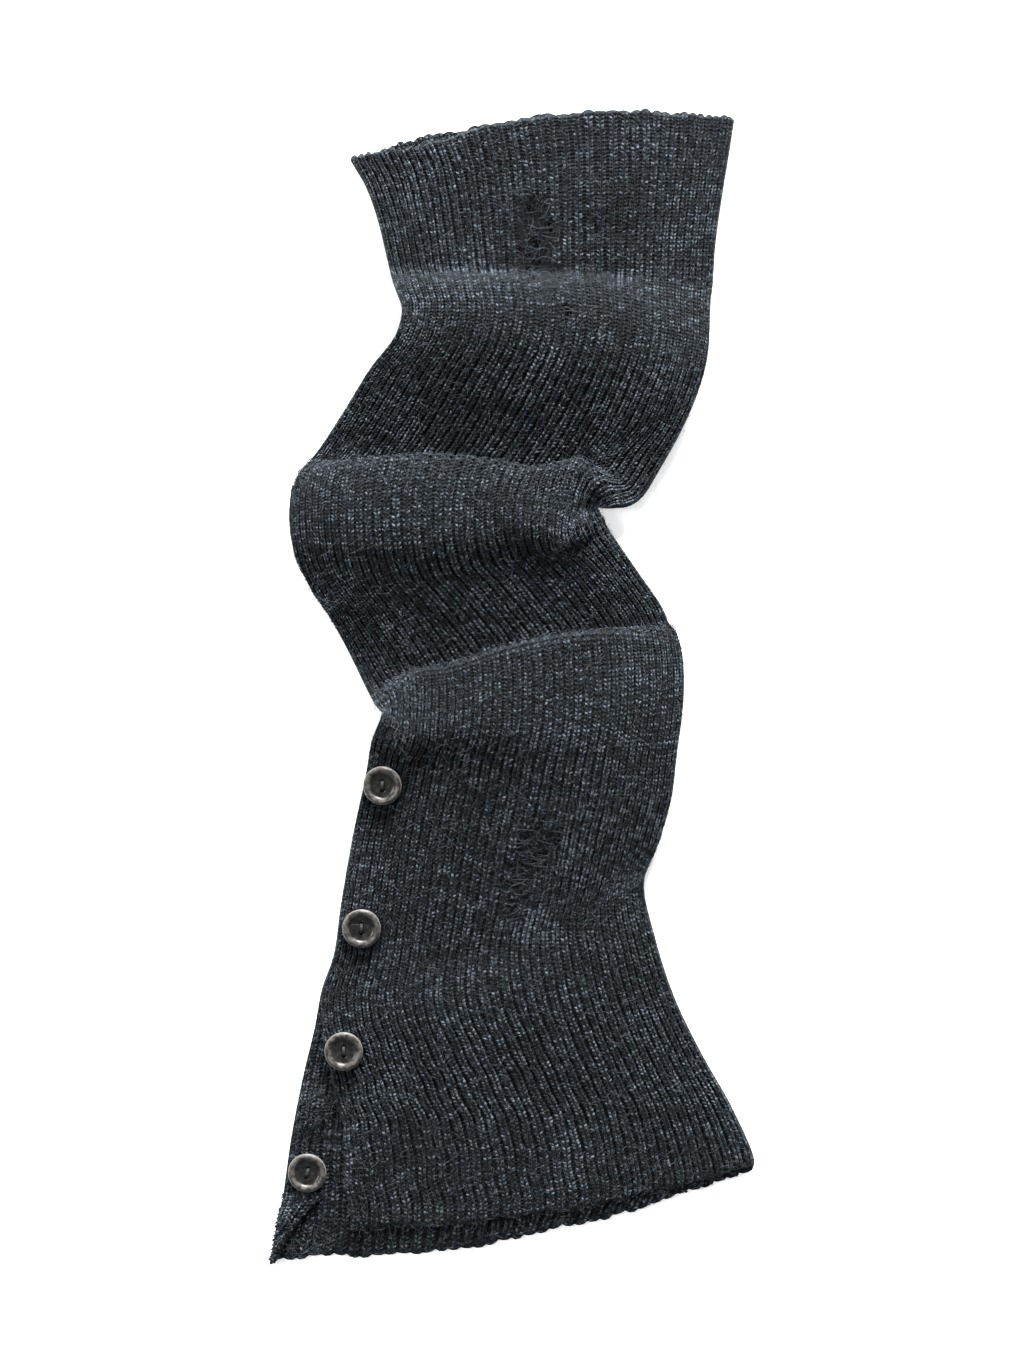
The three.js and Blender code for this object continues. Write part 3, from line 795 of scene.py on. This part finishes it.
# %% Stitches on the front
def outside_rips(points, margin):
    clear = np.ones(points.shape[:-1], bool)
    for x, y, length, width, lean in rips:
        turn = math.radians(lean)
        dx = points[..., 0] - x
        dy = points[..., 1] - y
        along = (dx * math.cos(turn) + dy * math.sin(turn)) / (length / 2 + margin)
        aside = (dy * math.cos(turn) - dx * math.sin(turn)) / (width / 2 + margin)
        clear &= along**2 + aside**2 > 1
    return clear


def unit(vectors):
    return vectors / np.linalg.norm(vectors, axis=-1, keepdims=True)


rib_centres = (np.arange(ribs) + 0.5) / ribs
course_length = np.arange(1.2, front_length[-1] - 0.8, course)
course_t = np.interp(course_length, front_length, front_t)
stitch_place, stitch_upward, _ = front_face(rib_centres, course_t, course_length)
stitch_place -= stitch_upward * 0.12
stitch_along = unit(-np.gradient(stitch_place, axis=0))
kept = outside_rips(stitch_place, 0.6) & (random.random(stitch_place.shape[:-1]) > 1.3 * wear(stitch_place))


def fitted(place):
    pitch = np.linalg.norm(np.gradient(place, axis=1), axis=-1)
    ones = np.ones_like(pitch)
    return np.stack([np.clip(pitch / 4.5, 0.45, 1.15), ones, np.clip(pitch / 4.5, 0.7, 1)], -1)


def stitched(name, place, upward, along, scaling):
    points = points_object(f"{name}_points", place, upward=upward, along=along, scaling=scaling)
    piece = grown(name, points, v_stitches, stitch_sizes)
    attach(piece, "root")
    return piece


half_way = len(course_t) // 2
for name, rows in (("knee_stitches", slice(0, half_way)), ("hem_stitches", slice(half_way, None))):
    pick = kept[rows]
    fields = (stitch_place, stitch_upward, stitch_along, fitted(stitch_place))
    parts = [values[rows][pick] for values in fields]
    stitched(name, *parts)

# %% Stitches on the back's inner face, where it shows beside the slit, at the hem and above the knee edge
back_course = np.arange(1.0, back_length[-1] - 0.6, course)
back_course_t = np.interp(back_course, back_length, back_t)
under_place, under_upward, _ = back_face(rib_centres, back_course_t, back_course)
under_along = unit(-np.gradient(under_place, axis=0))
beside_slit = rib_centres[None, :] < open_share(back_course_t)[:, None] + 0.04
shows = beside_slit & (back_course_t > 0.88)[:, None]
shows |= (back_course_t > front_end - 0.006)[:, None] | (back_course < 4)[:, None]
fields = (under_place, under_upward, under_along, fitted(under_place))
parts = [values[shows] for values in fields]
stitched("back_stitches", *parts)

# %% [markdown]
# Brushed wool has a halo of loose fibres. They are short curved hairs that grow from the face of the cloth
# and bend over it: most of them short and dark, some long and pale, which catch the light at the folds.


# %% The bed that the fuzz grows from
def strip_mesh(name, nets):
    vertices = []
    faces = []
    for net in nets:
        ids = len(vertices) + np.arange(net.shape[0] * net.shape[1]).reshape(net.shape[:2])
        faces += net_faces(ids, True).tolist()
        vertices += (net.reshape(-1, 3) * MM).tolist()
    mesh = bpy.data.meshes.new(name)
    mesh.from_pydata(vertices, [], faces)
    piece = bpy.data.objects.new(name, mesh)
    bpy.context.collection.objects.link(piece)
    return piece


def fuzz_nets():
    hem_rows = back_t > front_end - 0.002
    slit = back_upper[back_t > 0.9][:, : len(back_columns) // 7]
    return [front_upper[::2, ::3], back_upper[hem_rows], slit]


# %% Fibres on a bed
def fibre_tree():
    sizes = ("Per Square Metre", "Length", "Rise", "Radius", "Curl")
    kinds = {size: "NodeSocketFloat" for size in sizes}
    kinds |= {"Seed": "NodeSocketInt", "Fibre": "NodeSocketMaterial"}
    group, tree, given = geometry_tree("loose_fibres", kinds)
    count = {"Mesh": given, "Density": given.out("Per Square Metre"), "Seed": given.out("Seed")}
    roots = tree.add("GeometryNodeDistributePointsOnFaces", {"distribute_method": "RANDOM"}, count)
    middle_point = vector_of(tree, 0.45 * given.out("Length"), 0.0, 1.6 * given.out("Rise"))
    tip = vector_of(tree, given.out("Length"), 0.0, 0.5 * given.out("Rise"))
    bend = {"Resolution": 3, "Start": (0, 0, -0.3 * MM), "Middle": middle_point, "End": tip}
    hair = tree.add("GeometryNodeCurveQuadraticBezier", None, bend)
    whole_turn = {2: 0.0, 3: 2 * math.pi, "Seed": given.out("Seed")}
    spin = tree.add("FunctionNodeRandomValue", None, whole_turn).out(1)
    turn = tree.add("FunctionNodeAxisAngleToRotation", None, {"Axis": (0, 0, 1), "Angle": spin})
    local = {"Rotation": roots.out("Rotation"), "Rotate By": turn}
    facing = tree.add("FunctionNodeRotateRotation", {"rotation_space": "LOCAL"}, local)
    later = given.out("Seed") + 11
    spread = tree.add("FunctionNodeRandomValue", None, {2: 0.35, 3: 1.35, "Seed": later}).out(1)
    placed = {"Points": roots, "Instance": hair, "Rotation": facing, "Scale": spread}
    hairs = tree.add("GeometryNodeInstanceOnPoints", None, placed)
    real = tree.add("GeometryNodeRealizeInstances", None, {"Geometry": hairs})
    place = tree.add("GeometryNodeInputPosition")
    wander = tree.noise(place, 420.0, 1.0).out("Color")
    half = (0.5, 0.5, 0.5)
    centred = tree.add("ShaderNodeVectorMath", {"operation": "SUBTRACT"}, {0: wander, 1: half})
    along = tree.add("GeometryNodeSplineParameter")
    amount = along * given.out("Curl")
    offset = tree.add("ShaderNodeVectorMath", {"operation": "SCALE"}, {0: centred, "Scale": amount})
    curled = tree.add("GeometryNodeSetPosition", None, {"Geometry": real, "Offset": offset})
    round_section = {"Resolution": 3, "Radius": given.out("Radius")}
    profile = tree.add("GeometryNodeCurvePrimitiveCircle", None, round_section)
    swept = {"Curve": curled, "Profile Curve": profile, "Fill Caps": True}
    tubes = tree.add("GeometryNodeCurveToMesh", None, swept)
    whole = tree.add("GeometryNodeRealizeInstances", None, {"Geometry": tubes})
    dyed = tree.add("GeometryNodeSetMaterial", None, {"Geometry": whole, "Material": given.out("Fibre")})
    tree.add("NodeGroupOutput", None, {0: dyed})
    return group


def fibre_material(name, colour):
    material, tree, shader = new_material(name)
    shader.inputs["Base Color"].default_value = (*colour, 1)
    soft_wool(shader)
    return material


loose_fibres = fibre_tree()
dark_fibre = fibre_material("charcoal_fibre", (0.024, 0.028, 0.032))
grey_fibre = fibre_material("grey_fibre", (0.055, 0.064, 0.074))
pale_fibre = fibre_material("pale_mohair_fibre", (0.10, 0.116, 0.132))
def part_of(net, x, y, half_width, half_length):
    near = (np.abs(net[..., 0] - x) < half_width) & (np.abs(net[..., 1] - y) < half_length)
    rows = np.flatnonzero(near.any(axis=1))
    columns = np.flatnonzero(near.any(axis=0))
    return net[rows[0] : rows[-1] + 1, columns[0] : columns[-1] + 1]


whole_bed = fuzz_nets()
worn_bed = [part_of(front_upper, x, y, wide + 2, long + 2) for x, y, long, wide, _ in worn_patches]
pucker_bed = [part_of(back_upper, -83, -178, 9, 15), part_of(back_upper, -12, 234, 26, 4)]
pucker_bed += [part_of(front_upper, -51, -14, 8, 12), part_of(front_upper, 31, 74, 14, 12)]
edge_bed = [front_upper[:, :9], front_upper[:, -9:], front_upper[:4], front_upper[-4:]]
edge_bed += [back_upper[-4:], back_upper[back_t > 0.9, :4]]
fuzz_layers = {
    "short_fuzz_a": (95000, 3.2, 0.8, 0.035, 2.8, 21, dark_fibre, whole_bed),
    "short_fuzz_b": (100000, 3.4, 0.9, 0.033, 3.2, 22, pale_fibre, whole_bed),
    "long_fuzz": (55000, 6.5, 1.6, 0.03, 5.0, 23, pale_fibre, whole_bed),
    "worn_fuzz": (330000, 5.0, 0.6, 0.045, 4.0, 24, dark_fibre, worn_bed),
    "pucker_fuzz": (300000, 3.5, 0.9, 0.035, 3.2, 25, pale_fibre, pucker_bed),
    "edge_fuzz": (260000, 3.6, 1.5, 0.035, 3.0, 26, pale_fibre, edge_bed),
}
floor_reach = 0.3 * MM
floor_squash = 0.07


def laid_down(piece):
    places = np.empty(3 * len(piece.data.vertices), np.float32)
    piece.data.vertices.foreach_get("co", places)
    below = np.minimum(places[2::3] - floor_reach, 0)
    places[2::3] -= below * (1 - floor_squash)
    piece.data.vertices.foreach_set("co", places)


for name, (density, length, rise, radius, curl, seed, fibre, bed) in fuzz_layers.items():
    sizes = {
        "Per Square Metre": float(density),
        "Length": length * MM,
        "Rise": rise * MM,
        "Radius": radius * MM,
        "Curl": curl * MM,
        "Seed": seed,
        "Fibre": fibre,
    }
    fuzz = grown(name, strip_mesh(f"{name}_bed", bed), loose_fibres, sizes)
    laid_down(fuzz)
    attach(fuzz, "root")

# %% [markdown]
# The buttons are smoky horn: a round worn rim round a glossy dish, with two holes one above the other.
# Each is turned on a lathe here, drilled, and set on the mean slope of the cloth below it, as the packed
# model's buttons are.

# %% A button's profile, turned and drilled
button_radius = 8.1
button_height = 3.1
hole_radius = 0.95
hole_spacing = 3.6
button_profile = [
    (0, 0), (0.62, 0), (0.93, 0.32), (1, 0.6), (0.96, 0.85), (0.86, 1), (0.72, 0.9), (0.56, 0.62), (0, 0.55)
]
button_places = {
    "button_1": (-54, -40.5, 0, True),
    "button_2": (-63, -100.5, 0, True),
    "button_3": (-70.5, -152, 0, True),
    "button_4": (-86, -203.5, -14, False),
}


def smooth_line(points, steps):
    points = np.array(points, float)
    ends = np.concatenate([[2 * points[0] - points[1]], points, [2 * points[-1] - points[-2]]])
    out = []
    for k in range(1, len(ends) - 2):
        for w in np.arange(steps) / steps:
            a, b, c, d = ends[k - 1 : k + 3]
            curve = 2 * b + (c - a) * w + (2 * a - 5 * b + 4 * c - d) * w**2 + (3 * b - a - 3 * c + d) * w**3
            out.append(curve / 2)
    return np.array(out + [points[-1]])


def turned_button(name, sides=72):
    line = smooth_line(button_profile, 5)
    line[:, 0] = np.clip(line[:, 0], 0, None)
    ring = line[1:-1]
    angles = np.arange(sides) / sides * 2 * math.pi
    radii = ring[:, 0][:, None] * button_radius
    height = np.broadcast_to(ring[:, 1][:, None] * button_height, (len(ring), sides))
    net = np.stack([radii * np.cos(angles), radii * np.sin(angles), height], -1).reshape(-1, 3)
    vertices = np.concatenate([[[0, 0, 0]], net, [[0, 0, line[-1, 1] * button_height]]])
    faces = []
    for i in range(sides):
        j = (i + 1) % sides
        faces.append([0, 1 + j, 1 + i])
        for k in range(len(ring) - 1):
            low = 1 + k * sides
            faces.append([low + i, low + j, low + sides + j, low + sides + i])
        top = 1 + (len(ring) - 1) * sides
        faces.append([top + i, top + j, len(vertices) - 1])
    share = np.hypot(vertices[:, 0], vertices[:, 1]) / button_radius
    around = np.arctan2(vertices[:, 1], vertices[:, 0]) / (2 * math.pi)
    return mesh_object(name, vertices, faces, np.stack([share, around], -1))


def drill(y, sides=28):
    angles = np.arange(sides) / sides * 2 * math.pi
    ring = np.stack([hole_radius * np.cos(angles), y + hole_radius * np.sin(angles)], -1)
    vertices = np.array([(*spot, z) for z in (-2, 6) for spot in ring])
    faces = [[i, (i + 1) % sides, sides + (i + 1) % sides, sides + i] for i in range(sides)]
    faces += [list(range(sides))[::-1], list(range(sides, 2 * sides))]
    return mesh_object("drill", vertices, faces, np.zeros((2 * sides, 2)))


# %% The seat: the cloth's mean slope under a button, and the lowest plane that clears the cloth
def seat(x, y, on_front):
    t = np.arange(last_section * 6 + 1) / (last_section * 6)
    u = gather(np.arange(ribs + 1)[None, :] / ribs, t[:, None])
    point = middle(u, t[:, None])
    under = np.hypot(point[..., 0] - x, point[..., 1] - y) < button_radius
    normal = middle_normal(u, t[:, None])[under].sum(axis=0)
    normal /= np.linalg.norm(normal)
    outset = gap / 2 + wall + 0.7 if on_front else -gap / 2
    level = (point[under] @ normal).max() + outset + gap
    z = (level - normal[0] * x - normal[1] * y) / normal[2]
    return Vector((x, y, z)) * MM, Vector(normal)


# %% Horn: a worn pale rim with a painted highlight along its outer edge, a darker glossy dish, and cloudy streaks
def horn_material():
    material, tree, shader = new_material("smoky_horn")
    place = tree.add("ShaderNodeTexCoord").out("Object")
    uv = tree.add("ShaderNodeSeparateXYZ", None, {0: tree.add("ShaderNodeUVMap", {"uv_map": "knit"})})
    rim = uv.between(0.6, 0.7)
    clouds = tree.noise(place, 480, 4, 0.6)
    specks = tree.noise(place, 1500, 3, 0.7)
    dish = tree.mixed(clouds.between(0.35, 0.8), (0.0045, 0.0045, 0.0045), (0.026, 0.025, 0.0235))
    worn = tree.mixed(clouds.between(0.38, 0.62), (0.012, 0.0114, 0.0105), (0.072, 0.067, 0.061))
    # Painted highlight: the outermost edge of the worn rim is coloured as a pale line.
    worn_rim_and_edge_highlight = tree.mixed(uv.between(0.94, 0.99), worn, (0.14, 0.131, 0.12))
    base = tree.mixed(rim, dish, worn_rim_and_edge_highlight)
    colour = tree.mixed(0.4 * specks.between(0.55, 0.8), base, (0.07, 0.067, 0.063))
    tree.links.new(colour.socket, shader.inputs["Base Color"])
    rough = 0.17 + 0.24 * rim + 0.2 * specks
    tree.links.new(rough.socket, shader.inputs["Roughness"])
    bump = {"Strength": 0.35, "Distance": 0.1 * MM, "Height": 0.6 * clouds + 0.4 * specks}
    tree.links.new(tree.add("ShaderNodeBump", None, bump).socket, shader.inputs["Normal"])
    shader.inputs["Specular IOR Level"].default_value = 0.3
    shader.inputs["Coat Weight"].default_value = 0.1
    shader.inputs["Coat Roughness"].default_value = 0.12
    return material


horn = horn_material()

# %% [markdown]
# Dark sewing thread goes up through one hole and down through the other, in three turns that lie beside one
# another. It ends in the cloth under the button.


# %% Thread through the holes
thread_radius = 0.26
thread_turns = (-0.42, 0.0, 0.42)


def thread_line(aside):
    half = hole_spacing / 2
    top = 0.62 * button_height
    points = [(aside, -half, -1.2), (aside, -half, 0.6 * top), (aside * 0.9, -half * 0.92, top)]
    points += [(aside * 0.8, -half * 0.45, top + 0.62), (aside * 0.8, 0, top + 0.75)]
    mirrored = [(x, -y, z) for x, y, z in points[-2::-1]]
    return smooth_line(points + mirrored, 5)


def tube_mesh(lines, radius, sides):
    vertices = []
    faces = []
    for line in lines:
        tangent = unit(np.gradient(line, axis=0))
        side = unit(np.cross(tangent, np.array([1.0, 0.12, 0.07])))
        other = np.cross(tangent, side)
        first = len(vertices)
        for k, spot in enumerate(line):
            for angle in np.arange(sides) / sides * 2 * math.pi:
                vertices.append(spot + radius * (math.cos(angle) * side[k] + math.sin(angle) * other[k]))
        for k in range(len(line) - 1):
            for i in range(sides):
                j = (i + 1) % sides
                low = first + k * sides
                faces.append([low + i, low + j, low + sides + j, low + sides + i])
        faces.append([first + i for i in range(sides)][::-1])
        faces.append([first + (len(line) - 1) * sides + i for i in range(sides)])
    return np.array(vertices), faces


def thread_material():
    material, tree, shader = new_material("dark_sewing_thread")
    place = tree.add("ShaderNodeTexCoord").out("Object")
    strands = tree.noise(place, 1800, 2)
    colour = tree.mixed(strands.between(0.3, 0.7), (0.004, 0.0043, 0.005), (0.016, 0.017, 0.019))
    tree.links.new(colour.socket, shader.inputs["Base Color"])
    bump = {"Strength": 0.5, "Distance": 0.1 * MM, "Height": strands}
    tree.links.new(tree.add("ShaderNodeBump", None, bump).socket, shader.inputs["Normal"])
    shader.inputs["Roughness"].default_value = 0.7
    return material


thread_dark = thread_material()

# %% Set the four buttons and their thread
for node, (x, y, turn, on_front) in button_places.items():
    spot, slope = seat(x, y, on_front)
    to_cloth = Vector((0, 0, 1)).rotation_difference(slope).to_matrix().to_4x4()
    placed = Matrix.Translation(spot) @ to_cloth @ Matrix.Rotation(math.radians(turn), 4, "Z")
    piece = turned_button(f"horn_{node}")
    cut(piece, [drill(hole_spacing / 2), drill(-hole_spacing / 2)])
    piece.data.materials.append(horn)
    lines = [thread_line(aside) for aside in thread_turns]
    vertices, faces = tube_mesh(lines, thread_radius, 8)
    thread = mesh_object(f"thread_{node}", vertices, faces, np.zeros((len(vertices), 2)))
    thread.data.materials.append(thread_dark)
    for made in (piece, thread):
        made.data.transform(placed)
        made.data.shade_smooth()
        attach(made, "root")
    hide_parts(node)
    print(node, "at", [round(v * 1000, 1) for v in spot])

# %% [markdown]
# The yarn that once crossed the rips is still there: strands that sag from one side of a hole to the other,
# and slack curls that lie over the worn cloth. Their ends are buried in the cloth beside them.


# %% Height of the front's outer face under any place
front_top = front_upper[front_normal[..., 2] > 0.3]


def face_height(x, y):
    return front_top[np.argmin((front_top[:, 0] - x) ** 2 + (front_top[:, 1] - y) ** 2), 2]


# %% Strands across the holes, and curls over the worn patches
def strand(start, end, sag, lift, steps=9):
    s = np.linspace(0, 1, steps)
    line = np.array(start)[None, :] * (1 - s[:, None]) + np.array(end)[None, :] * s[:, None]
    line[:, 1] -= sag * 4 * s * (1 - s)
    line[:, 0] += 0.25 * np.sin(s * 9 + sag * 5)
    heights = np.array([face_height(*spot) for spot in (line[0], line[-1])])
    z = heights[0] * (1 - s) + heights[1] * s
    return np.column_stack([line, z - 0.5 + (0.5 + lift) * np.sin(math.pi * s) ** 0.6])


strands = []
for x, y, length, width, lean in rips:
    turn = math.radians(lean)
    for along in np.arange(-length / 2 + 0.8, length / 2, 2.6):
        at = (x + along * math.cos(turn), y + along * math.sin(turn) + random.uniform(-0.3, 0.3))
        reach = random.uniform(3.4, 4.8)
        rise = random.uniform(-1.2, 1.2)
        strands.append(strand((at[0] - reach, at[1] - rise), (at[0] + reach, at[1] + rise),
                              random.uniform(-1.2, 1.6), random.uniform(-0.5, 0.4)))

curls = []
for x, y, half_length, half_width, lean in worn_patches:
    turn = math.radians(lean)
    for _ in range(24):
        along = random.uniform(-0.9, 0.9) * half_length
        aside = random.uniform(-0.8, 0.8) * half_width
        at = (x + along * math.cos(turn) - aside * math.sin(turn),
              y + along * math.sin(turn) + aside * math.cos(turn))
        way = random.normal(0, 0.55)
        reach = random.uniform(2.0, 5.0)
        start = (at[0] - reach * math.cos(way), at[1] - reach * math.sin(way))
        end = (at[0] + reach * math.cos(way), at[1] + reach * math.sin(way))
        curls.append(strand(start, end, random.uniform(-2.5, 2.5), random.uniform(0.2, 1.0)))

loose_yarn = (("rip_strands", strands, 0.2, dark_fibre), ("worn_curls", curls, 0.1, grey_fibre))
for name, lines, radius, fibre in loose_yarn:
    vertices, faces = tube_mesh(lines, radius, 6)
    piece = mesh_object(name, vertices, faces, np.zeros((len(vertices), 2)))
    piece.data.materials.append(fibre)
    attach(piece, "root")
    print(name, len(lines))

# %% [markdown]
# Below the last button the underlap's border is turned over on itself, so it shows its outer face. It is a
# small roll that tapers to the tip of the hem, with its ribs running aslant.

# %% The turned-over border
turned_rows = [
    (-96, -212.5, -79, -212, 0.9),
    (-97, -217, -82, -216, 1.9),
    (-98.5, -222, -88, -222.5, 2.3),
    (-99.7, -229, -93.5, -230, 2.2),
    (-101, -236.5, -97.5, -237.5, 1.8),
    (-102, -242.3, -100.5, -241.8, 1.0),
]


def turned_border():
    rows = smooth_line(turned_rows, 12)
    shares = (1 - np.cos(np.linspace(0, math.pi, 25))) / 2
    outer = rows[:, None, 0:2]
    inner = rows[:, None, 2:4]
    plan = outer + (inner - outer) * shares[None, :, None]
    arch = rows[:, 4:5] * np.sqrt(np.clip(1 - (2 * shares - 1) ** 2, 0, 1))
    bottom = middle_height + gap / 2
    slanted = (plan[..., 0] * 0.75 - plan[..., 1] * 0.66) / 4.6
    relief = 1 - np.abs(2 * (slanted % 1) - 1) ** 2.4
    z = bottom + arch * (0.72 + 0.34 * relief)
    upper = np.concatenate([plan, z[..., None]], -1)
    lower = np.concatenate([plan, np.full_like(z, bottom)[..., None]], -1)
    along = (plan[..., 0] * 0.66 + plan[..., 1] * 0.75) / course
    piece = wall_object("turned_border", upper, lower, list(range(25)), np.stack([slanted, along], -1))
    return piece, upper


turned, turned_top = turned_border()
turned.data.materials.append(knit)
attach(turned, "root")
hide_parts("turned_edge")

# %% Stitches on the turned-over border
across = np.gradient(turned_top, axis=1)
down = np.gradient(turned_top, axis=0)
turned_upward = unit(np.cross(down, across))
wale = np.array([-0.66, -0.75, 0.0])
turned_along = unit(wale - turned_upward * (turned_upward @ wale)[..., None])
picks = (slice(2, -2, 3), slice(3, -3, 3))
fields = (turned_top, turned_upward, turned_along, np.full_like(turned_top, 0.9))
parts = [values[picks].reshape(-1, 3) for values in fields]
stitched("turned_stitches", *parts)

# %% [markdown]
# The cut that the cloth was knitted to, by the surface midway between the walls: a tube 415 mm all round at
# its hem, 328 mm at the knee and 255 mm where it is narrowest, and 539 mm long by its longest rib. It narrows
# toward the middle and the front stops short at the slit, so its area is given too.

# %% [markdown]
# The camera looks straight down, as the photograph does, and the knee is at the top of the picture.
# A large soft light from the knee side gives the waves their bright crests and dark hollows.

# %% Camera
picture_height = 573.3 * MM
camera_data = bpy.data.cameras.new("camera")
camera_data.lens = 85
camera_data.sensor_width = 36
camera = bpy.data.objects.new("camera", camera_data)
camera.location = (0, 2.5 * MM, 4 * MM + picture_height * camera_data.lens / camera_data.sensor_width)
bpy.context.collection.objects.link(camera)
bpy.context.scene.camera = camera
print("camera height", round(camera.location.z, 3))

# %% Floor
floor_mesh = bpy.data.meshes.new("floor")
floor_mesh.from_pydata([(-4, -4, 0), (4, -4, 0), (4, 4, 0), (-4, 4, 0)], [], [(0, 1, 2, 3)])
floor = bpy.data.objects.new("floor", floor_mesh)
bpy.context.collection.objects.link(floor)
paper, paper_tree, paper_shader = new_material("pale_floor")
paper_shader.inputs["Base Color"].default_value = (0.92, 0.92, 0.92, 1)
paper_shader.inputs["Roughness"].default_value = 0.9
paper_shader.inputs["Emission Color"].default_value = (1, 1, 1, 1)
paper_shader.inputs["Emission Strength"].default_value = 0.6
floor_mesh.materials.append(paper)


# %% Lights
def soft_light(name, location, size, power):
    light = bpy.data.lights.new(name, "AREA")
    light.shape = "DISK"
    light.size = size
    light.energy = power
    lamp = bpy.data.objects.new(name, light)
    lamp.location = location
    lamp.rotation_euler = (-Vector(location)).to_track_quat("-Z", "Y").to_euler()
    bpy.context.collection.objects.link(lamp)


soft_light("light_from_the_knee", (0.25, 2.2, 0.72), 1.3, 330)
soft_light("light_from_the_side", (-1.7, 0.3, 1.5), 0.9, 34)
world = bpy.data.worlds.new("pale_room")
world.use_nodes = True
world.node_tree.nodes["Background"].inputs["Color"].default_value = (0.94, 0.97, 1, 1)
world.node_tree.nodes["Background"].inputs["Strength"].default_value = 0.36
bpy.context.scene.world = world
bpy.context.scene.view_settings.view_transform = "Standard"
